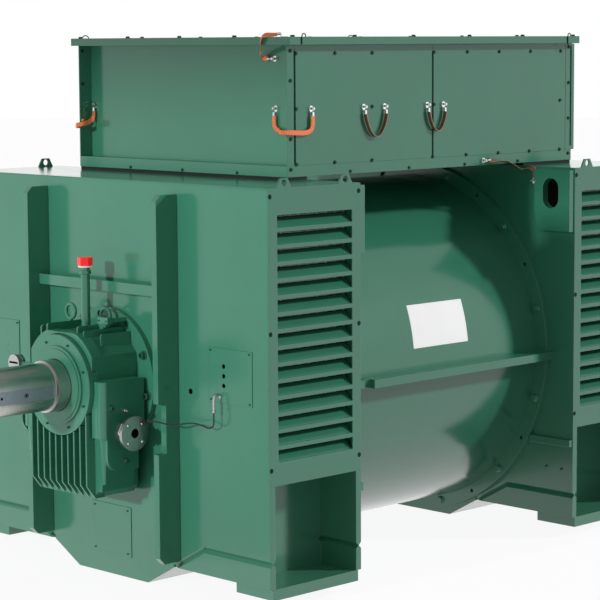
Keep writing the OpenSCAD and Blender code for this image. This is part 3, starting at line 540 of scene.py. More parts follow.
# Near-black: painted shade in bores, holes, sockets and slots.
HOLE_SHADE = Moulded(
    "painted_hole_shade", "dark_cable", colour=(0.003, 0.003, 0.003), gloss=0.9, grain=300, depth=0.2, ior=1.12
)
FINISHES = {f.slot: f for f in (GREEN, CAST, STEEL, KEY, RED, WHITE, BRONZE, FITTING, TINNED, PLAIT, SHEATH)}
PART_SPRAYED = {"oil_flanges": FLANGE, "sensor_heads": HEAD}


# ---------------------------------------------------------------- shapes


class Shape:
    """Vertices and faces gathered for one piece, worked out as whole arrays."""

    def __init__(self, points: np.ndarray, faces: list, uv: "np.ndarray | None" = None) -> None:
        """Keeps the mesh.

        Args:
            points: (n, 3) vertices.
            faces: tuples of vertex numbers.
            uv: (n, 2) map of a plait.
        """
        self.points = np.asarray(points, float).reshape(-1, 3)
        self.faces = faces
        self.uv = uv

    def __add__(self, other: "Shape") -> "Shape":
        """Both shapes in one.

        Args:
            other: the shape that is added.

        Returns:
            A new shape; its map is kept only where both have one.
        """
        step = len(self.points)
        moved = [tuple(i + step for i in face) for face in other.faces]
        uv = None if self.uv is None or other.uv is None else np.vstack([self.uv, other.uv])
        return Shape(np.vstack([self.points, other.points]), self.faces + moved, uv)

    def placed(self, frames: np.ndarray) -> "Shape":
        """Copies of the shape.

        Args:
            frames: (k, 4, 4) placements; each point p goes to R p + t of every placement.

        Returns:
            One shape with all the copies.
        """
        frames = np.asarray(frames, float).reshape(-1, 4, 4)
        points = np.einsum("kij,nj->kni", frames[:, :3, :3], self.points) + frames[:, None, :3, 3]
        count = len(self.points)
        faces = [tuple(i + k * count for i in face) for k in range(len(frames)) for face in self.faces]
        return Shape(points, faces)

    def mirrored(self) -> "Shape":
        """The same shape on the other side of the YZ plane, its faces turned to point outwards."""
        return Shape(self.points * (-1, 1, 1), [tuple(reversed(face)) for face in self.faces], self.uv)

    def both_sides(self) -> "Shape":
        """The shape with its mirror image."""
        return self + self.mirrored()

    def stood(self, points: "list | np.ndarray", normal: "tuple | np.ndarray") -> "Shape":
        """Copies that stand at these points on a surface with that normal."""
        return self.placed(stand(points, normal))

    def scattered(self, points: "list | np.ndarray", normal: "tuple | np.ndarray", seed: int) -> "Shape":
        """Copies that stand on a surface, each turned by its own random draw.

        Args:
            points: where they stand, in metres.
            normal: way out of the surface.
            seed: start of the random turns.

        Returns:
            One shape with all the copies.
        """
        points = np.asarray(points, float).reshape(-1, 3)
        turns = np.random.default_rng(seed).uniform(0, TAU, len(points))
        return self.placed(stand(points, normal, turns))

    def piece(
        self, name: str, finish: Finish, body: Body = Body.MACHINE, crease: float = 35
    ) -> bpy.types.Object:
        """Makes the shape an object of the scene.

        Args:
            name: the piece's name.
            finish: what it is painted or plated with.
            body: the CAD body that it rides on.
            crease: faces that meet at a larger angle, in degrees, keep a sharp edge.

        Returns:
            The new object, at the origin with its place in its mesh.
        """
        mesh = bpy.data.meshes.new(name)
        mesh.from_pydata(self.points.tolist(), [], self.faces)
        mesh.update()
        mesh.shade_smooth()
        mesh.set_sharp_from_angle(angle=math.radians(crease))
        mesh.materials.append(finish.material())
        if self.uv is not None:
            layer = mesh.uv_layers.new(name="plait")
            corners = np.empty(len(mesh.loops), int)
            mesh.loops.foreach_get("vertex_index", corners)
            layer.data.foreach_set("uv", self.uv[corners].ravel())
        made = bpy.data.objects.new(name, mesh)
        bpy.context.scene.collection.objects.link(made)
        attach(made, body.value)
        LOG.info("%s: %d faces in %s", name, len(mesh.polygons), finish.name)
        return made


def joined(shapes: list) -> Shape:
    """All the shapes in one."""
    return sum(shapes[1:], shapes[0])


def grid_faces(rows: int, columns: int) -> list:
    """Quads between neighbouring rows of rings, the last column joined to the first.

    Args:
        rows: number of rings.
        columns: number of points in a ring.

    Returns:
        The faces, each as four indices, counter-clockwise seen from rows x columns.
    """
    i, j = np.mgrid[0 : rows - 1, 0:columns]
    a, b = i * columns + j, i * columns + (j + 1) % columns
    return [tuple(q) for q in np.stack([a, b, b + columns, a + columns], -1).reshape(-1, 4).tolist()]


def tube(rings: np.ndarray) -> Shape:
    """A closed solid through rings of points.

    Args:
        rings: (k, n, 3) points; each ring turns counter-clockwise about the way to the next.

    Returns:
        Quads between the rings and a flat cap on each end.
    """
    rows, columns = rings.shape[:2]
    last = (rows - 1) * columns
    caps = [tuple(range(columns - 1, -1, -1)), tuple(range(last, last + columns))]
    return Shape(rings, grid_faces(rows, columns) + caps)


def turned(profile: "list | np.ndarray", sides: int = 24, phase: float = 0.0) -> Shape:
    """A solid of revolution about Z: ring k has radius r_k at height z_k.

    Args:
        profile: (radius, height) pairs, rising in height on the outside.
        sides: points in a ring.
        phase: turn of the first point, in radians.

    Returns:
        The closed solid.
    """
    radius, height = np.asarray(profile, float).T
    angle = phase + np.arange(sides) * TAU / sides
    rings = np.stack(
        [radius[:, None] * np.cos(angle), radius[:, None] * np.sin(angle), height[:, None] + 0 * angle], -1
    )
    return tube(rings)


def flush_disc(radius: float, sunk: float, proud: float, sides: int = 24) -> Shape:
    """A disc that reaches from a depth under a surface to a hair above it."""
    return turned([(radius, -sunk), (radius, proud)], sides)


def washer(inner: float, outer: float, thick: float, bevel: float, sides: int = 24) -> Shape:
    """A flat ring about Z, its section a bevelled rectangle carried round a circle.

    Args:
        inner: radius of its hole.
        outer: outer radius.
        thick: height, from z = 0 up.
        bevel: size of the bevels.
        sides: sections round the circle.

    Returns:
        The closed ring.
    """
    b = bevel
    section = np.array(
        [(inner, b), (inner + b, 0), (outer - b, 0), (outer, b),
         (outer, thick - b), (outer - b, thick), (inner + b, thick), (inner, thick - b)]
    )
    angle = np.arange(sides) * TAU / sides
    rings = np.stack(
        [np.cos(angle)[:, None] * section[:, 0], np.sin(angle)[:, None] * section[:, 0],
         section[:, 1] + 0 * angle[:, None]], -1
    )
    return closed_loop(rings)


def closed_loop(rings: np.ndarray) -> Shape:
    """A ring-shaped solid through rings of points, the last joined to the first.

    Args:
        rings: (k, n, 3) points; each ring turns clockwise about the way to the next.

    Returns:
        Quads all round, with no cap.
    """
    rows, columns = rings.shape[:2]
    i, j = np.mgrid[0:rows, 0:columns]
    a, b = i * columns + j, i * columns + (j + 1) % columns
    c, d = (i + 1) % rows * columns + (j + 1) % columns, (i + 1) % rows * columns + j
    return Shape(rings, [tuple(q) for q in np.stack([a, d, c, b], -1).reshape(-1, 4).tolist()])


def slab(low: "tuple | np.ndarray", high: "tuple | np.ndarray", bevel: float = 0.001) -> Shape:
    """A bevelled block: its outline shrinks by the bevel at the top and bottom rings.

    Args:
        low: its lowest corner.
        high: its highest corner.
        bevel: size of the bevels.

    Returns:
        The closed block.
    """
    low, high = np.asarray(low, float), np.asarray(high, float)
    corner = np.array([(0, 0), (1, 0), (1, 1), (0, 1)], float)
    sign = np.array([(1, 1), (-1, 1), (-1, -1), (1, -1)], float)
    rings = []
    for height, inset in ((low[2], bevel), (low[2] + bevel, 0), (high[2] - bevel, 0), (high[2], bevel)):
        flat = low[:2] + corner * (high - low)[:2] + sign * inset
        rings.append(np.column_stack([flat, np.full(4, height)]))
    return tube(np.array(rings))


def unit(vectors: np.ndarray) -> np.ndarray:
    """Vectors scaled to length 1 along their last axis."""
    return vectors / np.linalg.norm(vectors, axis=-1, keepdims=True)


def smooth_path(stops: "list | np.ndarray", per_span: int = 6) -> np.ndarray:
    """A curve through stops: on each span the Catmull-Rom cubic of its four nearest stops.

    Args:
        stops: (n, d) values.
        per_span: new points for each span.

    Returns:
        The denser values, the first and last stop kept.
    """
    stops = np.asarray(stops, float)
    padded = np.vstack([2 * stops[0] - stops[1], stops, 2 * stops[-1] - stops[-2]])
    t = np.linspace(0, 1, per_span, endpoint=False)[:, None, None]
    p0, p1, p2, p3 = padded[:-3], padded[1:-2], padded[2:-1], padded[3:]
    curve = 0.5 * (
        2 * p1 + (p2 - p0) * t + (2 * p0 - 5 * p1 + 4 * p2 - p3) * t**2 + (3 * p1 - p0 - 3 * p2 + p3) * t**3
    )
    return np.vstack([curve.transpose(1, 0, 2).reshape(-1, stops.shape[1]), stops[-1]])


def length_of(path: np.ndarray) -> float:
    """Length of a line of points."""
    return float(np.linalg.norm(np.diff(path, axis=0), axis=1).sum())


def swept(path: np.ndarray, section: np.ndarray, side: np.ndarray) -> Shape:
    """A section carried along a path.

    Args:
        path: (k, 3) points of the middle line.
        section: (n, 2) points, across and out of the band, counter-clockwise seen along the path.
        side: (k, 3) or (3,) rough direction of the section's first axis at each point.

    Returns:
        The closed band, with a UV map of metres along it and share of the way round it.
    """
    tangent = unit(np.gradient(path, axis=0))
    side = np.broadcast_to(side, path.shape)
    across = unit(side - (side * tangent).sum(1, keepdims=True) * tangent)
    out = np.cross(tangent, across)
    rings = path[:, None] + section[None, :, :1] * across[:, None] + section[None, :, 1:] * out[:, None]
    shape = tube(rings)
    along = np.concatenate([[0], np.linalg.norm(np.diff(path, axis=0), axis=1).cumsum()])
    around = np.arange(len(section)) / len(section)
    shape.uv = np.stack(np.broadcast_arrays(along[:, None], around[None, :]), -1).reshape(-1, 2)
    return shape


def round_section(radius: float, sides: int) -> np.ndarray:
    """Points of a circle."""
    angle = np.arange(sides) * TAU / sides
    return radius * np.column_stack([np.cos(angle), np.sin(angle)])


def stand(points: "list | np.ndarray", normal: np.ndarray, turn: "float | np.ndarray" = 0.0) -> np.ndarray:
    """Placements that stand a shape on a surface.

    Args:
        points: (k, 3) feet of the copies.
        normal: (3,) or (k, 3) direction that their Z axis takes.
        turn: their turn about it, in radians, one for all or one each.

    Returns:
        (k, 4, 4) placements.
    """
    points = np.asarray(points, float).reshape(-1, 3)
    normal = unit(np.broadcast_to(np.asarray(normal, float), points.shape))
    rough = np.where(np.abs(normal[:, 2:]) > 0.9, X_AXIS, Z_AXIS)
    first = unit(np.cross(rough, normal))
    second = np.cross(normal, first)
    angle = np.broadcast_to(np.asarray(turn, float), (len(points),))[:, None]
    frames = np.tile(np.eye(4), (len(points), 1, 1))
    frames[:, :3, 0] = first * np.cos(angle) + second * np.sin(angle)
    frames[:, :3, 1] = second * np.cos(angle) - first * np.sin(angle)
    frames[:, :3, 2] = normal
    frames[:, :3, 3] = points
    return frames


@dataclass(frozen=True)
class Screw:
    """A screw head with its washer, for copying."""

    thread: float
    head: Head = Head.HEX
    with_washer: bool = True

    def shape(self) -> Shape:
        """The head on its washer, with sizes as shares of the thread.

        Returns:
            The closed shape, its foot a little under z = 0 and its Z axis out of the surface.
        """
        d = self.thread
        base = 0.18 * d if self.with_washer else 0.0
        sunk = -0.1 * d
        if self.head is Head.HEX:
            r, sides = 0.98 * d, HEXAGON
            profile = [(r, base + sunk), (r, base + 0.55 * d), (0.86 * r, base + 0.65 * d)]
        elif self.head is Head.BUTTON:
            r, sides = 0.9 * d, 14
            profile = [(r, base + sunk), (r, base + 0.1 * d), (0.8 * r, base + 0.36 * d)]
            profile += [(0.4 * r, base + 0.5 * d)]
        else:
            r, h, sides = 0.78 * d, base + 0.95 * d, 12
            profile = [(r, base + sunk), (r, h - 0.1 * d), (0.9 * r, h), (0.6 * r, h)]
            profile += [(0.55 * r, h - 0.6 * d)]
        body = turned(profile, sides)
        if not self.with_washer:
            return body
        return turned([(1.15 * d, sunk), (1.15 * d, 0.14 * d), (1.08 * d, 0.2 * d)], 16) + body


# ---------------------------------------------------------------- studio


@dataclass(frozen=True)
class Lamp:
    """A distant soft lamp: the way to it, its light on a facing surface and its angular size in degrees."""

    name: str
    toward: tuple
    strength: float
    spread: float


@dataclass(frozen=True)
class Flag:
    """A card in the key lamp's way, given by its shadow on a plane of constant Y, in metres.

    away is its distance from that plane, low and high are the (X, Z) corners of its shadow there.
    """

    name: str
    away: float
    y: float
    low: tuple
    high: tuple


@dataclass
class Studio:
    """Camera, lamps, backdrop and floor of a plain pale studio."""

    eye: tuple = (8.988, -6.959, 1.7455)
    azimuth: float = 45.520
    elevation: float = 6.580
    roll: float = -0.307
    lens: float = 133.12
    sensor: float = 36.0
    clip: tuple = (0.1, 100.0)
    key: Lamp = Lamp("front_lamp", (-0.035, -0.97, 0.25), 1.3, 3)
    rear: Lamp = Lamp("rear_lamp", (0.62, 0.62, 0.50), 1.35, 5)
    flags: tuple = (
        Flag("upper_flag", 10.5, 1.04, (-9, 1.48), (9, 7)),
        Flag("side_flag", 2.0, 0.46, (0.86, 1.07), (1.6, 1.35)),
    )
    fill: float = 0.21
    mirror_low: float = 0.75
    mirror_high: float = 1.25
    front_gain: float = 3.0
    front_base: float = 0.45
    side_share: float = 0.85
    zenith_from: float = 0.35
    zenith_gain: float = 2.2
    zenith_loss: float = 0.6
    floor_z: float = -1.062
    floor_half: float = 60.0
    floor_front: float = 1.0
    floor_back: float = 0.25
    floor_slant: float = 0.6
    floor_gain: float = 0.3
    floor_base: float = 0.3
    floor_white: float = 1.06
    floor_share: float = 0.86
    floor_grey: tuple = (0.9, 0.9, 0.9, 1)

    def build(self) -> None:
        """Sets up everything that isn't the object."""
        self.place_camera()
        self.hang_lamp(self.key)
        for flag in self.flags:
            self.hang_flag(flag)
        self.hang_lamp(self.rear)
        self.paint_world()
        self.lay_floor()
        bpy.context.scene.view_settings.view_transform = "Standard"

    def place_camera(self) -> None:
        """Camera at the eye point, looking along its azimuth and elevation, with its small roll."""
        a, e, r = (math.radians(v) for v in (self.azimuth, self.elevation, self.roll))
        back = Vector((math.sin(a) * math.cos(e), -math.cos(a) * math.cos(e), math.sin(e)))
        level = Vector((math.cos(a), math.sin(a), 0))
        upright = back.cross(level)
        right = math.cos(r) * level + math.sin(r) * upright
        up = -math.sin(r) * level + math.cos(r) * upright
        data = bpy.data.cameras.new("studio_camera")
        data.lens, data.sensor_width = self.lens, self.sensor
        data.clip_start, data.clip_end = self.clip
        camera = bpy.data.objects.new("studio_camera", data)
        turn = Matrix((right, up, back)).transposed().to_4x4()
        camera.matrix_world = Matrix.Translation(self.eye) @ turn
        bpy.context.scene.collection.objects.link(camera)
        bpy.context.scene.camera = camera

    def hang_lamp(self, lamp: Lamp) -> None:
        """Hangs a lamp that mirrors don't show.

        Args:
            lamp: the lamp.
        """
        data = bpy.data.lights.new(lamp.name, "SUN")
        data.energy, data.angle = lamp.strength, math.radians(lamp.spread)
        made = bpy.data.objects.new(lamp.name, data)
        made.rotation_mode = "QUATERNION"
        made.rotation_quaternion = Vector(lamp.toward).to_track_quat("Z", "Y")
        made.visible_glossy = False
        bpy.context.scene.collection.objects.link(made)

    def hang_flag(self, flag: Flag) -> None:
        """Hangs a card that is seen only by its shadow, which is the softer the further off it is.

        Args:
            flag: the card.
        """
        shift = Vector(self.key.toward).normalized() * flag.away
        (x0, z0), (x1, z1) = flag.low, flag.high
        corners = [Vector((x, flag.y, z)) + shift for x, z in ((x0, z0), (x1, z0), (x1, z1), (x0, z1))]
        mesh = bpy.data.meshes.new(flag.name)
        mesh.from_pydata([tuple(corner) for corner in corners], [], [(0, 1, 2, 3)])
        card = bpy.data.objects.new(flag.name, mesh)
        card.visible_camera = card.visible_glossy = False
        card.visible_diffuse = card.visible_transmission = False
        bpy.context.scene.collection.objects.link(card)

    @staticmethod
    def rays(graph: Graph, *kinds: str) -> Value:
        """1 for light paths of these kinds, else 0."""
        found = [graph.node("ShaderNodeLightPath", {}, {}, f"Is {kind} Ray") for kind in kinds]
        return sum(found[1:], found[0]).clamped()

    def mirror(self, graph: Graph, way: Value) -> Value:
        """Brightness that mirrors see in a direction: a bright left and rear, a dimmer front.

        Args:
            graph: where its nodes go.
            way: unit vector of the direction.

        Returns:
            The brightness.
        """
        left = graph.axis(way, "X") * -1.0
        front = graph.axis(way, "Y") * -1.0
        dim = ((front - left.size() * self.side_share) * self.front_gain + self.front_base).clamped()
        above = ((graph.axis(way, "Z") - self.zenith_from) * self.zenith_gain).clamped()
        level = self.mirror_high - dim * (self.mirror_high - self.mirror_low)
        return level * (1.0 - above * self.zenith_loss)

    def paint_world(self) -> None:
        """White to the eye, a light tent in mirrors, and a dimmer fill light for everything else."""
        world = bpy.data.worlds.new("studio_world")
        world.use_nodes = True
        bpy.context.scene.world = world
        graph = Graph(world.node_tree)
        eye, mirror = self.rays(graph, "Camera", "Transmission"), self.rays(graph, "Glossy")
        way = graph.node("ShaderNodeTexCoord", {}, {}, "Generated")
        strength = self.fill + eye * (1 - self.fill) + mirror * (self.mirror(graph, way) - self.fill)
        light = graph.node("ShaderNodeBackground", {}, {"Color": (1, 1, 1, 1), "Strength": strength})
        graph.node("ShaderNodeOutputWorld", {}, {"Surface": light})

    def pale_floor(self) -> bpy.types.Material:
        """White to the eye but for a soft shadow, the light tent in mirrors, and light thrown up in front.

        Returns:
            The floor's material.
        """
        material = bpy.data.materials.new("pale_floor")
        material.use_nodes = True
        graph = Graph(material.node_tree)
        coords = graph.objects()
        way = graph.node("ShaderNodeVectorMath", {"operation": "NORMALIZE"}, {0: coords})
        eye, mirror, bounce = (self.rays(graph, kind) for kind in ("Camera", "Glossy", "Diffuse"))
        forward = graph.axis(coords, "Y") * -1.0 - graph.axis(coords, "X") * self.floor_slant
        ahead = (forward * self.floor_gain + self.floor_base).clamped()
        upward = self.floor_back + ahead * (self.floor_front - self.floor_back)
        glow = eye * self.floor_white + mirror * self.mirror(graph, way) + bounce * upward
        matt = graph.node("ShaderNodeBsdfDiffuse", {}, {"Color": self.floor_grey})
        shine = graph.node("ShaderNodeEmission", {}, {"Color": (1, 1, 1, 1), "Strength": glow})
        share = (eye * self.floor_share + mirror + bounce).clamped()
        both = graph.node("ShaderNodeMixShader", {}, {0: share, 1: matt, 2: shine})
        graph.node("ShaderNodeOutputMaterial", {}, {"Surface": both})
        return material

    def lay_floor(self) -> None:
        """A wide flat floor just under the lowest point."""
        a, z = self.floor_half, self.floor_z
        mesh = bpy.data.meshes.new("studio_floor")
        mesh.from_pydata([(-a, -a, z), (a, -a, z), (a, a, z), (-a, a, z)], [], [(0, 1, 2, 3)])
        mesh.materials.append(self.pale_floor())
        floor = bpy.data.objects.new("studio_floor", mesh)
        bpy.context.scene.collection.objects.link(floor)


# ---------------------------------------------------------------- the machine's main planes


@dataclass(frozen=True)
class Planes:
    """Main planes of the machine, read from the boxes of its CAD nodes."""

    front: float
    de_back: float
    nde: float
    rear: float
    half: float
    top: float
    box_front: float
    box_rear: float
    box_half: float
    box_foot: float
    lid_low: float
    lid_top: float
    lid_x: float
    end_panel: float

    @classmethod
    def read(cls) -> "Planes":
        """Measures the nodes; the terminal box's end panel lies 83 mm behind the front of its side covers.

        Returns:
            The planes in metres.
        """
        plate, rings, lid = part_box("de_front_plate"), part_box("stator_rings"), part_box("terminal_lid")
        low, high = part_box("terminal_covers_right")
        return cls(
            front=plate[0].y, de_back=rings[0].y, nde=rings[1].y, rear=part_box("nde_outer_plate")[1].y,
            half=plate[1].x, top=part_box("de_top_cover")[1].z,
            box_front=low.y, box_rear=high.y, box_half=high.x, box_foot=low.z,
            lid_low=lid[0].z, lid_top=lid[1].z, lid_x=lid[1].x, end_panel=low.y + 83 * MM,
        )

    @property
    def ends(self) -> tuple:
        """Names of the two louvred boxes and where each one starts along Y."""
        return ("drive", self.front), ("rear", self.nde)


def dress_cad_nodes() -> None:
    """Gives each CAD node the finish of its slot, or a partly sprayed form of it."""
    slots = {s["node"]: s["material_slot"] for s in frame["record"]["subparts"]}
    for name, node in frame["nodes"].items():
        finish = PART_SPRAYED.get(name, FINISHES[slots[name]])
        node.data.materials.clear()
        node.data.materials.append(finish.material())
        LOG.info("%s: finished in %s", name, slots[name])


# ---------------------------------------------------------------- cords


@dataclass
class SubAssembly:
    """What every sub-assembly has: the machine's main planes, and a method that makes its pieces."""

    planes: Planes

    def build(self) -> None:
        """Makes the pieces."""
        raise NotImplementedError


@dataclass(frozen=True)
class Lugs:
    """Holes of the strap lugs in millimetres.

    A "back" is measured from the terminal box's front, lid_eye is (X, back), and lid_foot and wall_eye are
    (X, Z).
    """

    outward: float = 16
    level: float = 1415
    cover_1: tuple = (1520, 1680)
    cover_2: tuple = (2017, 2149)
    corner_back: float = 172
    panel_right: float = 675
    panel_left: float = -796
    lid_foot: tuple = (670, 1671)
    lid_eye: tuple = (784, 44)
    wall_back: float = 1530
    wall_foot: float = 1093
    wall_eye: tuple = (938, 958)


LUGS = Lugs()
AHEAD, LEFT, RIGHT, UP = (0, -1, 0), (-1, 0, 0), (1, 0, 0), (0, 0, 1)
RIGHT_CORNER, LEFT_CORNER = (0.7, -0.7, 0), (-0.7, -0.7, 0)
STEEP_CORNER = (-0.67, -0.74, 0)


@dataclass
class EarthStraps(SubAssembly):
    """Flat orange earthing straps between their tinned lugs, on the routes of their CAD bands."""

    width: float = 0.026
    thick: float = 0.005
    sides: int = 20
    lug_r: float = 15
    neck: float = 4
    barrel: float = 20
    clear: float = 0.3
    sag_1: float = 158
    sag_2: float = 143
    lid_turn: float = math.radians(33)
    # Straps that take the plait in painted shade.
    straps_in_shade: tuple = ("strap_cover_1", "strap_cover_2", "strap_wall")
    lengths: dict = field(default_factory=lambda: {
        "strap_cover_1": 0.305, "strap_cover_2": 0.26, "strap_corner_right": 0.52,
        "strap_corner_left": 0.235, "strap_lid": 0.29, "strap_wall": 0.42,
    })

    @property
    def start(self) -> float:
        """Distance in millimetres from a lug's hole to where its strap begins."""
        return self.lug_r + self.neck + self.barrel + self.clear

    def section(self) -> np.ndarray:
        """Outline of the plait: |across / a|^3 + |out / b|^3 = 1, a flat shape with round edges.

        Returns:
            (n, 2) points in metres.
        """
        angle = (np.arange(self.sides) + 0.5) * TAU / self.sides
        c, s = np.cos(angle), np.sin(angle)
        grow = (np.abs(c) ** 3 + np.abs(s) ** 3) ** (-1 / 3)
        return np.column_stack([self.width / 2 * c * grow, self.thick / 2 * s * grow])

    @property
    def front(self) -> float:
        """Front of the terminal box in millimetres."""
        return self.planes.box_front / MM

    @property
    def near(self) -> float:
        """Plane of the straps' middle in front of the end panel, in millimetres."""
        return self.planes.end_panel / MM - LUGS.outward

    @property
    def beside(self) -> float:
        """Plane of the straps' middle beside the right covers, in millimetres."""
        return self.planes.box_half / MM + LUGS.outward

    def hanging(self, feet: tuple, drop: float) -> tuple:
        """Route between two lugs on a side cover: an arch upside down, its depth going as sine to the 1.5.

        Args:
            feet: places of the two lugs along Y in millimetres.
            drop: how far its lowest point is under the lugs.

        Returns:
            Stops in millimetres and the direction of the band's width.
        """
        angle = np.radians(np.arange(0, 181, 9))
        half = (feet[1] - feet[0]) / 2
        y = feet[0] + half - half * np.cos(angle)
        z = LUGS.level - self.start - (drop - self.start) * np.sin(angle).clip(0) ** 1.5
        stops = np.column_stack([np.full(len(angle), self.beside), y, z])
        return stops, np.tile(X_AXIS, (len(stops), 1))

    def laid(self, stops: list) -> tuple:
        """Route along a surface, made smooth.

        Args:
            stops: (point, outward direction) pairs in millimetres.

        Returns:
            Denser points and the direction of the band's width at each.
        """
        both = smooth_path(np.array([[*point, *out] for point, out in stops], float), per_span=5)
        path, out = both[:, :3], both[:, 3:]
        return path, np.cross(unit(np.gradient(path, axis=0)), out)

    def corner_right(self) -> tuple:
        """Route from the end panel round the box's right front corner to the side cover.

        Returns:
            Points in millimetres and the direction of the band's width at each.
        """
        front, near, x, start = self.front, self.near, self.beside, self.start
        foot, y, z = LUGS.panel_right, front + LUGS.corner_back, LUGS.level
        return self.laid([
            ((foot, near, z - start), AHEAD), ((foot, near, z - 76), AHEAD), ((686, near, z - 103), AHEAD),
            ((713, near - 2, z - 114), (-0.2, -1, 0)), ((756, front + 29, z - 116), STEEP_CORNER),
            ((800, front - 17, z - 117), STEEP_CORNER), ((823, front - 26, z - 118), AHEAD),
            ((x - 8, front - 16, z - 119), RIGHT_CORNER), ((x + 2, front + 9, z - 119), RIGHT),
            ((x + 2, front + 54, z - 121), RIGHT), ((x + 1, front + 104, z - 123), RIGHT),
            ((x, front + 135, z - 120), RIGHT), ((x, front + 161, z - 108), RIGHT),
            ((x, y, z - 80), RIGHT), ((x, y, z - start), RIGHT),
        ])

    def corner_left(self) -> tuple:
        """Route from the end panel round the box's left front corner.

        Returns:
            Points in millimetres and the direction of the band's width at each.
        """
        front, near, x, start = self.front, self.near, self.beside, self.start
        foot, z = LUGS.panel_left, LUGS.level
        return self.laid([
            ((foot, near, z - start), AHEAD), ((foot, near - 1, z - 60), AHEAD),
            ((-797, near - 11, z - 86), (0.5, -0.8, -0.2)), ((-797, near - 35, z - 100), (0.9, -0.3, 0)),
            ((-796, front + 4, z - 106), RIGHT), ((-805, front - 21, z - 112), RIGHT_CORNER),
            ((-826, front - 30, z - 116), AHEAD), ((8 - x, front - 20, z - 120), LEFT_CORNER),
            ((-x, front + 2, z - 122), LEFT), ((-x, front + 30, z - 122), LEFT),
        ])

    def lid(self) -> tuple:
        """Route from the end panel's upper lug in a loop up to the lid.

        Returns:
            Points in millimetres and the direction of the band's width at each.
        """
        front, near, start = self.front, self.near, self.start
        (foot, z), (eye, back) = LUGS.lid_foot, LUGS.lid_eye
        top = self.planes.lid_top / MM + LUGS.outward
        c, s = math.cos(self.lid_turn), math.sin(self.lid_turn)
        return self.laid([
            ((foot - start, near, z), AHEAD), ((606, near - 3, 1675), (-0.2, -1, 0)),
            ((600, near - 22, 1692), (-0.6, -0.9, 0)), ((628, front + 22, 1714), LEFT_CORNER),
            ((664, front - 14, 1734), LEFT_CORNER), ((681, front - 32, 1760), LEFT_CORNER),
            ((690, front - 30, 1783), (-0.6, -0.8, 0)), ((707, front - 13, top - 6), (0, -0.9, 0.3)),
            ((730, front + 8, top - 5), (0.35, -0.6, 0.6)),
            ((eye - start * c, front + back - start * s, top - 3), (0.3, -0.5, 0.7)),
        ])

    def wall(self) -> tuple:
        """Route from the side cover under the box's edge to the rear wall.

        Returns:
            Points in millimetres and the direction of the band's width at each.
        """
        x, start = self.beside, self.start
        y, z = self.front + LUGS.wall_back, LUGS.wall_foot
        eye, low = LUGS.wall_eye
        wall = self.planes.nde / MM - LUGS.outward
        return self.laid([
            ((x, y + start, z), RIGHT), ((x + 1, y + 60, z), (0.7, 0, 0.7)),
            ((x + 1, y + 100, 1091), (0.1, 0, 1)), ((x + 1, y + 165, 1085), UP), ((x - 2, y + 225, 1068), UP),
            ((x - 9, wall - 54, 1044), UP), ((x - 12, wall - 22, 1033), UP), ((x + 6, wall - 2, 1032), UP),
            ((895, wall, 1040), (0, -0.3, 1)), ((926, wall, 1036), (0.3, -0.8, 0.5)),
            ((eye, wall, 1019), AHEAD), ((eye, wall, low + start), AHEAD),
        ])

    def build(self) -> None:
        routes = {
            "strap_cover_1": self.hanging(LUGS.cover_1, self.sag_1),
            "strap_cover_2": self.hanging(LUGS.cover_2, self.sag_2),
            "strap_corner_right": self.corner_right(),
            "strap_corner_left": self.corner_left(),
            "strap_lid": self.lid(),
            "strap_wall": self.wall(),
        }
        for node, (stops, side) in routes.items():
            path = stops * MM
            # The brown plait is painted shade.
            finish = PLAIT_IN_SHADE if node in self.straps_in_shade else PLAIT
            piece = swept(path, self.section(), side).piece(f"plaited_{node}", finish, crease=60)
            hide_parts(node)
            LOG.info("%s: %.3f m", node, length_of(path))


@dataclass
class SensorLead(SubAssembly):
    """The dark lead from the oil drain to the bent entry tube on the front plate; its places are in mm."""

    diameter: float = 0.008
    length: float = 0.54
    drain_ahead: float = 140
    drain_z: float = -172
    entry_x: float = 867
    entry_ahead: float = 53
    entry_z: float = -83.5
    inside: float = 24

    def route(self) -> np.ndarray:
        """Its middle line: through the rib's notch, down, along and up into the tube.

        Returns:
            (n, 3) points in metres.
        """
        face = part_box("oil_flanges")[1].x / MM
        front = self.planes.front / MM
        y, into = front - self.drain_ahead, front - self.entry_ahead
        up, top = self.entry_x, self.entry_z
        stops = [
            (face + 0.4, y, self.drain_z), (face + 12, y + 1, -171), (face + 40, y + 11, -166),
            (face + 84, y + 20, -164), (545, front - 112, -168), (592, front - 96, -174),
            (640, front - 80, -167), (690, front - 68, -156), (740, front - 61, -153),
            (785, front - 56, -158), (812, front - 54, -165), (833, into, -166), (850, into, -161),
            (862, into, -149), (up, into, -132), (up, into, top - self.inside), (up, into, top),
        ]
        return smooth_path(stops, per_span=6) * MM

    def build(self) -> None:
        path = self.route()
        lead = swept(path, round_section(self.diameter / 2, 12), Y_AXIS)
        piece = lead.piece("sensor_lead", SHEATH, crease=60)
        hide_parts("sensor_cable")
        LOG.info("sensor lead: %.3f m", length_of(path))


# ---------------------------------------------------------------- sheet metal details


def fixed(points: "list | np.ndarray", normal: "tuple | np.ndarray", screw: Screw, seed: int) -> Shape:
    """Copies of a screw on a surface, each turned by a seeded chance as a fitter leaves them.

    Args:
        points: where they stand, in metres.
        normal: way out of the surface.
        screw: what stands there.
        seed: start of the random turns.

    Returns:
        All of them as one shape.
    """
    return screw.shape().scattered(points, normal, seed)


def places(plane: str, level: float, pairs: "list | np.ndarray") -> np.ndarray:
    """Points on a plane of constant X, Y or Z.

    Args:
        plane: the axis that the plane is square to.
        level: its place on that axis, in metres.
        pairs: the other two coordinates in millimetres, in the order of the axes.

    Returns:
        (n, 3) points in metres.
    """
    pairs = np.asarray(pairs, float).reshape(-1, 2) * MM
    order = {"X": (0, 1, 2), "Y": (1, 0, 2), "Z": (1, 2, 0)}[plane]
    stacked = np.column_stack([np.full(len(pairs), level), pairs])
    return stacked[:, order]


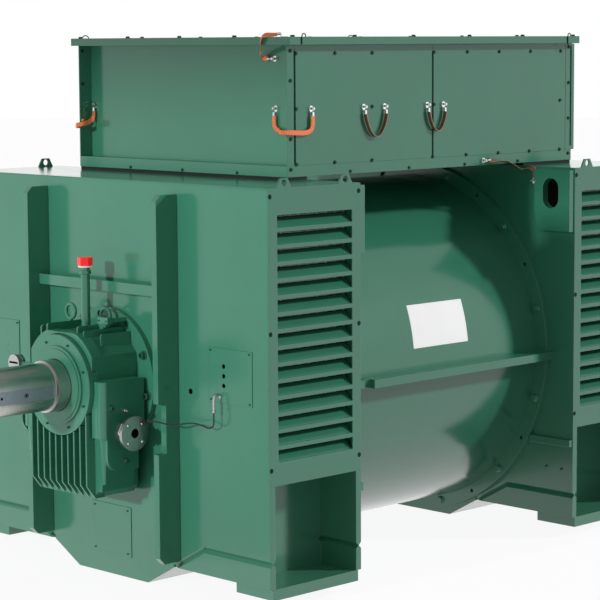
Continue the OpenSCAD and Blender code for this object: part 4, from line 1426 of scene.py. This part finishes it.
@dataclass
class LouvreScreens(SubAssembly):
    """Bird screens of galvanised wire in the four louvred panels, and near-black sheets behind them, painted
    shade of the boxes' insides.
    """

    skin: float = 0.008
    depth: float = 0.053
    wire: float = 0.0030
    pitch: float = 0.063
    first_wire: float = 0.078
    under_blade: float = 0.011
    slots: int = 15
    slot_pitch: float = 0.083
    slot: float = 0.061
    drop: float = 0.133
    margin: float = 0.050
    # The sheet_ fields place the near-black sheets of painted shade.
    sheet_gap: float = 0.030
    sheet_thick: float = 0.006
    sheet_margin: float = 0.040
    sheet_height: float = 1.27
    sheet_drop: float = 0.10

    def screen(self, y: float, length: float) -> Shape:
        """Upright and level wires of a right-hand screen.

        Args:
            y: where its box starts.
            length: how long the box is.

        Returns:
            All the wires.
        """
        x = self.planes.half - self.skin - self.depth
        high = self.planes.top - self.drop
        low = high - self.slot - (self.slots - 1) * self.slot_pitch
        near, far = y + self.margin, y + length - self.margin
        section = round_section(self.wire, HEXAGON)
        uprights = np.arange(y + self.first_wire, far, self.pitch)
        stands = [[(x, place, low), (x, place, high)] for place in uprights]
        behind = x - self.wire
        levels = high - np.arange(self.slots) * self.slot_pitch - self.under_blade
        rails = [[(behind, near, z), (behind, far, z)] for z in levels]
        return joined([swept(np.array(wire), section, X_AXIS) for wire in stands + rails])

    def shade_sheet(self, y: float, length: float) -> Shape:
        """The near-black sheet of painted shade behind a right-hand screen.

        Args:
            y: where its box starts.
            length: how long the box is.

        Returns:
            The sheet as a thin block.
        """
        p = self.planes
        x = p.half - self.skin - self.depth - self.sheet_gap
        low = (x, y + self.sheet_margin, p.top - self.drop - self.sheet_height)
        high = (x + self.sheet_thick, y + length - self.sheet_margin, p.top - self.sheet_drop)
        return slab(low, high)

    def build(self) -> None:
        """Makes the screens and the sheets of painted shade of both ends."""
        length = self.planes.rear - self.planes.nde
        for name, y in self.planes.ends:
            self.screen(y, length).both_sides().piece(f"{name}_louvre_screens", GALVANISED)
            self.shade_sheet(y, length).both_sides().piece(f"{name}_inside_shade_sheets", INSIDE_SHADE)


@dataclass
class PanelScrews(SubAssembly):
    """Hexagon screws sunk flush in the louvred side panels, near-black as painted shade, their levels and
    edges in millimetres.
    """

    levels: tuple = (1009, 335, -343)
    edges: tuple = (12, 633)
    radius: float = 0.0135
    proud: float = 0.0003
    sunk: float = 0.002
    seed: int = 11

    def build(self) -> None:
        """Makes the screws of both ends and both sides."""
        head = flush_disc(self.radius, self.sunk, self.proud, HEXAGON)
        for seed, (name, y) in enumerate(self.planes.ends, self.seed):
            pairs = [(y / MM + edge, level) for edge in self.edges for level in self.levels]
            heads = head.scattered(places("X", self.planes.half, pairs), X_AXIS, seed)
            heads.both_sides().piece(f"{name}_panel_screws", SHADE_GREEN)


@dataclass
class TerminalBoxScrews(SubAssembly):
    """Screws of the terminal box's side covers, corner strips and foot flange, with places in mm."""

    upper: float = 1698
    middle: float = 1415
    lower: float = 1131
    upper_row: tuple = (1306, 1587, 2074, 2349, 2620, 2894, 3165)
    lower_row: tuple = (1303, 1584, 2064, 2341, 2614, 2888, 3160)
    middle_row: tuple = (1022, 1586, 2074, 3162)
    strip: float = 26
    front_strip: tuple = (1712, 1560, 1262, 1106)
    rear_strip: tuple = (1721, 1515, 1310, 1106)
    foot_row: tuple = (1420, 1875, 2330, 2785)
    foot_level: float = 1079
    end_row: tuple = (-399, 31, 463)
    end_level: float = 1077
    inner: float = 0.006
    nut_edge: float = 22
    nut_levels: tuple = (1712, 1530, 1114)
    brass_nut: tuple = (21, 1323)
    screw: Screw = Screw(0.0088)
    foot_screw: Screw = Screw(0.009, with_washer=False)
    brass: Screw = Screw(0.012)

    def side(self) -> Shape:
        """The right side's screws.

        Returns:
            Three rows, the seam's upper and lower ones and the two corner strips', in this order.
        """
        p = self.planes
        rows = ((self.upper_row, self.upper), (self.lower_row, self.lower), (self.middle_row, self.middle))
        pairs = [(y, z) for row, z in rows for y in row]
        pairs += [(self.middle_row[0], z) for z in (self.upper, self.lower)]
        pairs += [(p.box_front / MM + self.strip, z) for z in self.front_strip]
        pairs += [(p.box_rear / MM - self.strip, z) for z in self.rear_strip]
        return fixed(places("X", p.box_half, pairs), X_AXIS, self.screw, seed=21)

    def foot(self) -> Shape:
        """The screws on the right side of the foot flange."""
        pairs = [(y, self.foot_level) for y in self.foot_row]
        return fixed(places("X", self.planes.box_half, pairs), X_AXIS, self.foot_screw, seed=22)

    def ends(self) -> Shape:
        """The screws on the front and rear sides of the foot flange.

        Returns:
            Both groups in one shape.
        """
        p = self.planes
        pairs = [(x, self.end_level) for x in self.end_row]
        ahead = fixed(places("Y", p.box_front, pairs), -Y_AXIS, self.foot_screw, seed=23)
        return ahead + fixed(places("Y", p.box_rear, pairs), Y_AXIS, self.foot_screw, seed=25)

    def inside_cover(self, edge: float, levels: tuple) -> np.ndarray:
        """Points on the inner face of the left cover, an edge behind its front, in front of the end panel."""
        p = self.planes
        return places("X", -p.box_half + self.inner, [(p.box_front / MM + edge, z) for z in levels])

    def build(self) -> None:
        """Makes each group of screws and nuts."""
        # The heads' dark green is painted shade.
        self.side().both_sides().piece("cover_screws", SCREW_HEADS_DEEP_SHADED)
        (self.foot().both_sides() + self.ends()).piece("foot_flange_screws", SCREW_HEADS_DEEP_SHADED)
        nuts = self.inside_cover(self.nut_edge, self.nut_levels)
        fixed(nuts, X_AXIS, self.screw, seed=26).piece("cover_inner_nuts", SCREW_HEADS_DEEP_SHADED)
        edge, level = self.brass_nut
        fixed(self.inside_cover(edge, (level,)), X_AXIS, self.brass, seed=27).piece("cover_brass_nut", BRASS)


@dataclass
class LidFittings(SubAssembly):
    """Screws along the lid's edges, in millimetres, and the wire hooks over its sides, in metres."""

    screw: Screw = Screw(0.0115)
    screw_x: float = 855
    first: float = 28
    pitch: float = 455
    count: int = 6
    end_row: tuple = (-423, 4, 437)
    end_edge: float = 12
    loop: float = 0.0195
    bar: float = 0.0030
    off_side: float = 0.0035
    inward: float = 0.010
    sunk: float = 0.003
    tip: float = 0.001
    near: float = 0.065
    near_reach: float = 0.034
    far: float = 0.092
    far_reach: float = 0.050

    def screws(self) -> Shape:
        """Screw heads that stand on the lid near its edges.

        Returns:
            The long rows, then the short ones, in one shape.
        """
        p = self.planes
        front, rear = p.box_front / MM, p.box_rear / MM
        row = [front + self.first + self.pitch * k for k in range(self.count)]
        long = [(x, y) for x in (-self.screw_x, self.screw_x) for y in row]
        short = [(x, y) for x in self.end_row for y in (front + self.end_edge, rear - self.end_edge)]
        return fixed(places("Z", p.lid_top, long + short), Z_AXIS, self.screw, seed=24)

    def hook(self, y: float, reach: float) -> Shape:
        """A wire up the lid's right side, bent over in half a circle, down on to the lid.

        Args:
            y: place of its long leg.
            reach: how far the long leg goes down the side.

        Returns:
            The hook.
        """
        p = self.planes
        angle = np.radians(np.arange(180, -1, -15))
        over = np.column_stack([
            np.linspace(p.lid_x + self.off_side, p.lid_x - self.inward, len(angle)),
            y + self.loop + self.loop * np.cos(angle),
            p.lid_top - self.sunk + self.loop * np.sin(angle),
        ])
        start, end = over[0] - [0, 0, reach], over[-1].copy()
        end[2] = p.lid_top - self.tip
        return swept(np.vstack([start, over, end]), round_section(self.bar, 8), X_AXIS)

    def build(self) -> None:
        """Makes the screw heads and the hooks."""
        p = self.planes
        # The dark green of the heads and hooks is painted shade.
        self.screws().piece("lid_screws", SCREW_HEADS_DEEP_SHADED)
        near = self.hook(p.box_front + self.near, self.near_reach)
        far = self.hook(p.box_rear - self.far, self.far_reach)
        (near + far).both_sides().piece("lid_side_hooks", SCREW_HEADS_DEEP_SHADED)


@dataclass
class RimStrips(SubAssembly):
    """Sealing strips under the lid and under the box, and near-black strips of painted shade in the seams and
    on the rear corners of the covers.

    A seam is its (Y, lowest, highest) place, and the corner strip is (back, past, lowest, highest).
    """

    width: float = 0.010
    bevel: float = 0.0008
    flush_bevel: float = 0.0002
    lid_gap: float = 0.001
    lid_end: float = 0.01
    lid_drop: float = 0.004
    seam: float = 0.013
    seam_1: tuple = (1.012, 1.134, 1.712)
    seam_2: tuple = (2.0645, 1.128, 1.704)
    sunk: float = 0.003
    proud: float = 0.0006
    corner: tuple = (0.012, 0.0002, 1.150, 1.728)
    foot_inset: float = 0.004
    foot_end: float = 0.003
    foot_clear: float = 0.004
    overlap: float = 0.0005

    def under_lid(self) -> Shape:
        """Strips under the long edges of the lid.

        Returns:
            The right one with its mirror image.
        """
        p = self.planes
        x = p.box_half + self.lid_gap
        low = (x, p.box_front + self.lid_end, p.lid_low - self.lid_drop)
        high = (x + self.width, p.box_rear - self.lid_end, p.lid_low + self.lid_gap)
        return slab(low, high, self.bevel).both_sides()

    def on_cover(self, near: float, far: float, low: float, high: float) -> Shape:
        """An upright strip almost flush with the right cover, between two places along Y and two heights."""
        x = self.planes.box_half
        return slab((x - self.sunk, near, low), (x + self.proud, far, high), self.flush_bevel)

    def in_seams(self) -> Shape:
        """Strips of painted shade in the upright seams of the right cover.

        Returns:
            Both strips in one shape.
        """
        half = self.seam / 2
        seams = (self.seam_1, self.seam_2)
        return joined([self.on_cover(y - half, y + half, low, high) for y, low, high in seams])

    def round_foot(self) -> Shape:
        """The seal between the box's foot and the two top covers.

        Returns:
            Two strips across the machine and two on each side.
        """
        p, bevel = self.planes, self.bevel
        low, high, x = p.top - self.overlap, p.box_foot + self.overlap, p.box_half - self.foot_inset
        near, far = p.box_front + self.foot_end, p.box_rear - self.foot_end
        across = [slab((-x, y, low), (x, y + self.width, high), bevel) for y in (near, far - self.width)]
        first = (near + self.width, p.de_back - self.foot_clear)
        last = (p.nde + self.foot_clear, far - self.width)
        inner = x - self.width
        along = [slab((inner, a, low), (x, b, high), bevel).both_sides() for a, b in (first, last)]
        return joined(across + along)

    def build(self) -> None:
        """Makes the strips as long thin blocks with rounded edges."""
        self.under_lid().piece("lid_seal_strips", GREEN)
        # The seam strips here and the rear corner strips below are painted shade.
        self.in_seams().both_sides().piece("cover_seam_shade_strips", SHADE_GREEN)
        self.round_foot().piece("box_foot_seal", RUBBER)
        back, past, low, high = self.corner
        rear = self.planes.box_rear
        self.on_cover(rear - back, rear + past, low, high).both_sides().piece("rear_corner_shade_strips", SHADE_GREEN)


# ---------------------------------------------------------------- bearing, shaft and frame details


def on_front(points: "list | np.ndarray", planes: Planes, out: float) -> np.ndarray:
    """(X, Z) places in millimetres on a plane that stands out millimetres in front of the front plate."""
    return places("Y", planes.front - out * MM, points)


def bolt_circle(radius: float, count: int, first: float = 0.0) -> np.ndarray:
    """Places (r cos a, r sin a) evenly round a circle about the shaft axis.

    Args:
        radius: the circle's radius, in the unit that is wanted.
        count: how many places.
        first: angle of the first one in degrees, up from +X.

    Returns:
        (count, 2) places along X and Z.
    """
    angle = np.radians(first + 360 / count * np.arange(count))
    return radius * np.column_stack([np.cos(angle), np.sin(angle)])


@dataclass
class BearingFittings(SubAssembly):
    """Screws, plugs and small fittings of the drive end bearing.

    Faces, bolt circles, plugs, the drain and the probe's place are in millimetres, the rest in metres.
    A turned piece is given by its (radius, height) pairs.
    """

    seal_face: float = 355
    seal_ring: float = 230
    seal_clear: float = -205
    flange_face: float = 30
    flange_ring: float = 343
    flange_clear: float = 255
    plugs: tuple = ((-273, -97), (-181, -379))
    drain: tuple = (-190, -226)
    drain_ring: float = 66
    bore_depth: float = 0.030
    probe: tuple = (6, 108)
    ring_drop: float = 0.0088
    collar_up: float = 0.30
    eyebolt_feet: tuple = ((-0.175, 0.120), (0.060, 0.077))
    vent_ahead: float = 0.165
    vent_screws: tuple = (0.112, 0.170)
    vent_screw_drop: float = 0.018
    vent_tube: float = 0.164
    vent_back: float = 0.026
    vent_drop: float = 0.020
    nut: tuple = ((0.052, 0), (0.052, 0.014), (0.048, 0.017))
    neck: tuple = ((0.040, 0.012), (0.040, 0.024), (0.036, 0.027))
    collar: tuple = ((0.044, 0.034), (0.044, 0.046), (0.038, 0.05))
    bore_r: float = 0.0244
    bore_thick: float = 0.002
    probe_profile: tuple = ((0.011, 0), (0.011, 0.010), (0.007, 0.011), (0.007, 0.024), (0.005, 0.026))
    seal_washer: tuple = (0.020, 0.0375, 0.009, 0.001)
    pipe_collar: tuple = ((0.029, 0), (0.031, 0.002), (0.031, 0.018), (0.029, 0.020))
    eyebolt_nut: tuple = ((0.0165, 0.0215), (0.0165, 0.029), (0.015, 0.031))
    vent_nut: tuple = ((0.0185, 0), (0.0185, 0.018), (0.017, 0.020))
    small: Screw = Screw(0.0085, Head.SOCKET, with_washer=False)
    large: Screw = Screw(0.022, Head.SOCKET)
    plug: Screw = Screw(0.015, Head.SOCKET)
    button: Screw = Screw(0.0085, Head.BUTTON, with_washer=False)
    tiny: Screw = Screw(0.006, Head.SOCKET, with_washer=False)

    def screws(self) -> None:
        """Socket screws of the seal cover and of the mounting flange, and the plugs of the side blocks."""
        p = self.planes
        ring = bolt_circle(self.seal_ring, count=8, first=22)
        ring = on_front(ring[ring[:, 0] > self.seal_clear], p, self.seal_face)
        # The screws and plugs here take a darker green as painted shade.
        fixed(ring, -Y_AXIS, self.small, seed=31).piece("seal_cover_screws", SCREW_GREEN_SHADED)
        ring = bolt_circle(self.flange_ring, count=10, first=-10)
        ring = on_front(ring[np.abs(ring[:, 0]) > self.flange_clear], p, self.flange_face)
        fixed(ring, -Y_AXIS, self.large, seed=32).piece("bearing_flange_screws", SCREW_GREEN_SHADED)
        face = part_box("bearing_housing")[1].x
        plugs = places("X", face, [(p.front / MM + y, z) for y, z in self.plugs])
        fixed(plugs, X_AXIS, self.plug, seed=33).both_sides().piece("side_block_plugs", SCREW_GREEN_SHADED)

    def oil_flange(self) -> None:
        """Screws in the oil flanges, the bright nipples behind them, and black discs deep in their bores as
        painted shade.
        """
        face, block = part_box("oil_flanges")[1].x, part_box("bearing_housing")[1].x
        y, z = self.planes.front / MM + self.drain[0], self.drain[1]
        corners = [(y + a, z + b) for a, b in bolt_circle(self.drain_ring, count=4, first=45)]
        heads = fixed(places("X", face, corners), X_AXIS, self.button, seed=34)
        heads.both_sides().piece("oil_flange_screws", ZINC)
        nipple = turned(self.nut, HEXAGON) + turned(self.neck + self.collar, 32)
        nipple = nipple.stood(places("X", block, [(y, z)]), X_AXIS)
        nipple.both_sides().piece("oil_nipples", ZINC)
        # A black disc deep in each bore, painted shade.
        bore = flush_disc(self.bore_r, 0, self.bore_thick, 32)
        bore = bore.stood(places("X", face - self.bore_depth, [(y, z)]), X_AXIS)
        bore.both_sides().piece("oil_bore_shade", HOLE_SHADE)
        probe = turned(self.probe_profile, 12)
        foot = places("X", block, [(y + self.probe[0], z + self.probe[1])])
        probe.stood(foot, X_AXIS).both_sides().piece("oil_level_probes", ZINC)

    def breather(self) -> None:
        """The white seal ring under the red cap and the collar of the breather pipe."""
        low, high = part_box("breather_cap")
        middle = (low + high) / 2
        under = np.array(Matrix.Translation((middle.x, middle.y, low.z - self.ring_drop)))
        washer(*self.seal_washer).placed(under).piece("breather_seal_ring", NYLON)
        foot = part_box("breather_pipe")[0].z + self.collar_up
        collar = turned(self.pipe_collar, 32)
        collar.stood([(middle.x, middle.y, foot)], Z_AXIS).piece("breather_pipe_collar", GREEN)

    def eyebolts(self) -> None:
        """Hexagon collars at the feet of the eyebolts."""
        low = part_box("eyebolts")[0].z
        feet = [(x, self.planes.front - ahead, low) for x, ahead in self.eyebolt_feet]
        nut = turned(self.eyebolt_nut, HEXAGON)
        nut.stood(feet, Z_AXIS).piece("eyebolt_collars", GREEN)

    def vent(self) -> None:
        """Screws on the vent block and the union nut of its tube."""
        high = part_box("vent_fitting")[1].z
        y = self.planes.front - self.vent_ahead
        heads = [(x, y, high - self.vent_screw_drop) for x in self.vent_screws]
        fixed(heads, -Y_AXIS, self.tiny, seed=35).piece("vent_block_screws", GREEN)
        foot = (self.vent_tube, y + self.vent_back, high - self.vent_drop)
        turned(self.vent_nut, HEXAGON).stood([foot], Y_AXIS).piece("vent_tube_nut", GREEN)

    def build(self) -> None:
        """Makes them all."""
        for part in (self.screws, self.oil_flange, self.breather, self.eyebolts, self.vent):
            part()


@dataclass
class FrontDetails(SubAssembly):
    """Screws and cable holes of the covers on the front plate, as (X, Z) places in millimetres."""

    skin: float = 4
    side_cover: tuple = ((794, 223), (1078, 224), (1080, -26), (796, -26))
    low_cover: tuple = ((-140, -700), (128, -700), (128, -932), (-140, -932))
    cable_holes: tuple = ((890, 49), (890, 98), (890, 147))
    cable_r: float = 0.0115
    plate_holes: tuple = ((636, -6), (-636, -6))
    plate_r: float = 0.0145
    sunk: float = 0.003
    proud: float = 0.0003
    screw: Screw = Screw(0.0062, Head.SOCKET, with_washer=False)

    def build(self) -> None:
        """Makes the screws of the three covers in a darker green of painted shade, black discs of painted
        shade in the right cable holes and the plate's own holes, and plugs in the left cable holes.
        """
        p = self.planes
        pairs = [*self.side_cover, *((-x, z) for x, z in self.side_cover), *self.low_cover]
        heads = fixed(on_front(pairs, p, self.skin), -Y_AXIS, self.screw, seed=41)
        heads.piece("front_cover_screws", SCREW_GREEN_SHADED)
        disc = flush_disc(self.cable_r, self.sunk, self.proud)
        holes = on_front(self.cable_holes, p, self.skin)
        # The black discs are painted shade in the cable holes.
        disc.stood(holes, -Y_AXIS).piece("cable_hole_shade", HOLE_SHADE)
        disc.stood(holes * [-1, 1, 1], -Y_AXIS).piece("cable_hole_plugs", GREEN)
        wide = flush_disc(self.plate_r, self.sunk, self.proud, 28)
        wide.stood(on_front(self.plate_holes, p, 0), -Y_AXIS).piece("front_plate_hole_shade", HOLE_SHADE)


@dataclass
class ShaftDetails(SubAssembly):
    """Screws that hold the key, and the centre hole with its tapped holes in the shaft end, on the rotor."""

    key_turn: float = math.radians(5)
    key_half: float = 0.035
    lift: float = 0.0002
    key_screws: tuple = (0.067, 0.222)
    rim: tuple = ((0.0140, -0.002), (0.0140, 0.0004), (0.0112, 0.0005), (0.0108, -0.001))
    socket_r: float = 0.0078
    sunk: float = 0.002
    proud: float = 0.0005
    centre: tuple = ((0.026, -0.001), (0.026, 0.0001), (0.022, 0.0001), (0.012, -0.0003))
    tap: tuple = ((0.013, -0.001), (0.013, 0.0001), (0.0115, 0.0001), (0.010, -0.0003))
    tap_ring: float = 78

    def key_frames(self) -> np.ndarray:
        """Where the two key screws stand on the key's middle line, square to its face.

        Returns:
            (2, 4, 4) placements.
        """
        low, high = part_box("shaft_key")
        c, s = math.cos(self.key_turn), math.sin(self.key_turn)
        radius = (high.x - self.key_half * s) / c + self.lift
        return stand([(c * radius, low.y + along, -s * radius) for along in self.key_screws], (c, 0, -s))

    def build(self) -> None:
        """Makes the key screws and the end's holes."""
        frames = self.key_frames()
        turned(self.rim, 28).placed(frames[1:]).piece("key_screw_rims", BLACKENED_STEEL_AND_HOLE_SHADE, Body.ROTOR)
        socket = flush_disc(self.socket_r, self.sunk, self.proud, HEXAGON)
        # The black sockets are painted shade.
        socket.placed(frames).piece("key_screw_sockets", HOLE_SHADE, Body.ROTOR)
        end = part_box("shaft")[0].y
        # The centre hole and the tapped holes are shallow dark shapes, their darkness painted shade.
        cone = turned(self.centre, 32).stood(places("Y", end, [(0, 0)]), -Y_AXIS)
        cone.piece("shaft_centre_hole", BLACKENED_STEEL_AND_HOLE_SHADE, Body.ROTOR)
        taps = turned(self.tap, 20).stood(places("Y", end, bolt_circle(self.tap_ring, count=3)), -Y_AXIS)
        taps.piece("shaft_end_taps", BLACKENED_STEEL_AND_HOLE_SHADE, Body.ROTOR)


@dataclass
class StatorDetails(SubAssembly):
    """Screw heads round the two end rings of the stator frame and small screws on the rear wall.

    The circle and the wall's (X, Z) places are in millimetres, the first angle is in degrees.
    """

    ring: float = 1003
    first: float = 14.1
    clear: float = 150
    ring_thick: float = 0.036
    wall: tuple = ((1025, -667), (1134, -671))
    head: Screw = Screw(0.021)
    small: Screw = Screw(0.009, Head.SOCKET, with_washer=False)

    def build(self) -> None:
        """Makes the ring screws at both ends and the wall screws."""
        p = self.planes
        spots = bolt_circle(self.ring, count=12, first=self.first)
        spots = spots[np.abs(spots[:, 0]) > self.clear]
        heads = fixed(places("Y", p.de_back + self.ring_thick, spots), Y_AXIS, self.head, seed=51)
        heads = heads + fixed(places("Y", p.nde - self.ring_thick, spots), -Y_AXIS, self.head, seed=52)
        heads.piece("stator_ring_screws", GREEN)
        pairs = [*self.wall, *((-x, z) for x, z in self.wall)]
        # Their darker green is painted shade.
        fixed(places("Y", p.nde, pairs), -Y_AXIS, self.small, seed=53).piece("rear_wall_screws", SCREW_GREEN_SHADED)


@dataclass
class LugScrews(SubAssembly):
    """Bright hexagon screws with washers through the eyes of the strap lugs."""

    out: float = 0.0185
    wall_eye: tuple = (0.944, 0.0405, 0.962)
    disc: tuple = ((0.015, -0.002), (0.015, 0.0028), (0.0145, 0.003))
    disc_thick: float = 0.003
    bend: tuple = ((938, 16, 992), (941, 32, 982), (944, 43, 972))
    bar: float = 0.006
    screw: Screw = Screw(0.0085)

    def build(self) -> None:
        """Makes the screws of the side, end panel and wall lugs, and the bent eye of the wall lug."""
        p = self.planes
        front = p.box_front / MM
        pairs = [(y, LUGS.level) for y in (*LUGS.cover_1, *LUGS.cover_2, front + LUGS.corner_back)]
        pairs += [(front + LUGS.wall_back, LUGS.wall_foot)]
        side = places("X", p.box_half + self.out, pairs)
        fixed(side, X_AXIS, self.screw, seed=61).piece("side_lug_screws", ZINC)
        pairs = [(LUGS.panel_right, LUGS.level), (LUGS.panel_left, LUGS.level), LUGS.lid_foot]
        end = places("Y", p.end_panel - self.out, pairs)
        fixed(end, -Y_AXIS, self.screw, seed=62).piece("end_lug_screws", ZINC)
        x, ahead, z = self.wall_eye
        eye = np.array([(x, p.nde - ahead, z)])
        disc = turned(self.disc).stood(eye, -Y_AXIS)
        bar = smooth_path([(a, p.nde / MM - b, c) for a, b, c in self.bend], per_span=4) * MM
        (disc + swept(bar, round_section(self.bar, 12), X_AXIS)).piece("wall_lug_eye", TINNED)
        fixed(eye - [0, self.disc_thick, 0], -Y_AXIS, self.screw, seed=63).piece("wall_lug_screw", ZINC)


@dataclass
class SensorFittings(SubAssembly):
    """Slot of the sensor head as a black block of painted shade, its ring, union nut of the bent entry tube
    and the lead's strain relief.
    """

    slot_half: float = 0.8
    slot_low: float = -0.05
    slot_high: float = 0.18
    slot_proud: float = 0.0004
    slot_depth: float = 0.002
    slot_bevel: float = 0.0002
    ring_back: float = 0.026
    ring: tuple = ((0.0012, 0), (0.0016, 0.002), (0.0016, 0.008), (0.0012, 0.010))
    nut: tuple = ((0.0115, 0), (0.0115, 0.010), (0.0100, 0.012))
    relief: tuple = ((0.0105, 0), (0.0105, 0.008), (0.0088, 0.010), (0.0060, 0.030), (0.0045, 0.032))

    def build(self) -> None:
        """Makes the small parts."""
        p, lead = self.planes, SensorLead(self.planes)
        low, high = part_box("sensor_heads")
        middle, r = (low.z + high.z) / 2, (high.z - low.z) / 2
        x, reach = low.x + r, self.slot_half * r
        near = (x - reach, low.y - self.slot_proud, middle + self.slot_low * r)
        far = (x + reach, low.y + self.slot_depth, middle + self.slot_high * r)
        # The black slot is painted shade.
        slab(near, far, self.slot_bevel).piece("sensor_head_slot", HOLE_SHADE)
        grip = turned([(r + proud, y) for proud, y in self.ring], 48)
        grip.stood([(x, low.y + self.ring_back, middle)], Y_AXIS).piece("sensor_head_ring", FITTING)
        foot = (lead.entry_x * MM, p.front - lead.entry_ahead * MM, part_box("sensor_conduit")[0].z)
        turned(self.nut, HEXAGON).stood([foot], Z_AXIS).piece("entry_tube_nut", ZINC)
        start = (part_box("oil_flanges")[1].x, p.front - lead.drain_ahead * MM, lead.drain_z * MM)
        turned(self.relief).stood([start], X_AXIS).piece("lead_strain_relief", RUBBER)


@dataclass
class LiftingHoles(SubAssembly):
    """Black plates of painted shade behind the long holes of the lifting plates."""

    x: float = 1.072
    z: float = 0.903
    width: float = 0.108
    height: float = 0.166
    thick: float = 0.0008
    sides: int = 40

    def shade_plate(self, near: float, far: float) -> Shape:
        """A long-round plate: half circles moved apart by the straight part.

        Args:
            near: where it starts along Y.
            far: where it ends.

        Returns:
            The closed plate.
        """
        r = self.width / 2
        angle = np.arange(0, TAU, TAU / self.sides)
        lift = np.where(np.sin(angle) >= 0, 1.0, -1.0) * (self.height / 2 - r)
        x, z = self.x + r * np.cos(angle), self.z + lift + r * np.sin(angle)
        return tube(np.array([np.column_stack([x, np.full(self.sides, y), z]) for y in (far, near)]))

    def build(self) -> None:
        """Makes a thin black plate of painted shade for each hole, at the bottom of the hole."""
        p = self.planes
        rear = self.shade_plate(p.nde - self.thick, p.nde)
        front = self.shade_plate(p.de_back, p.de_back + self.thick)
        (rear + front).both_sides().piece("lifting_hole_shade", HOLE_SHADE)


def main() -> None:
    """Builds the studio, the cords, the CAD finishes and each sub-assembly, in that order."""
    logging.basicConfig(level=logging.INFO, format="%(message)s")
    planes = Planes.read()
    Studio().build()
    EarthStraps(planes).build()
    SensorLead(planes).build()
    dress_cad_nodes()
    for part in (
        LouvreScreens, PanelScrews, TerminalBoxScrews, LidFittings, RimStrips, BearingFittings, FrontDetails,
        ShaftDetails, StatorDetails, LugScrews, SensorFittings, LiftingHoles,
    ):
        part(planes).build()


if __name__ == "__main__":
    main()
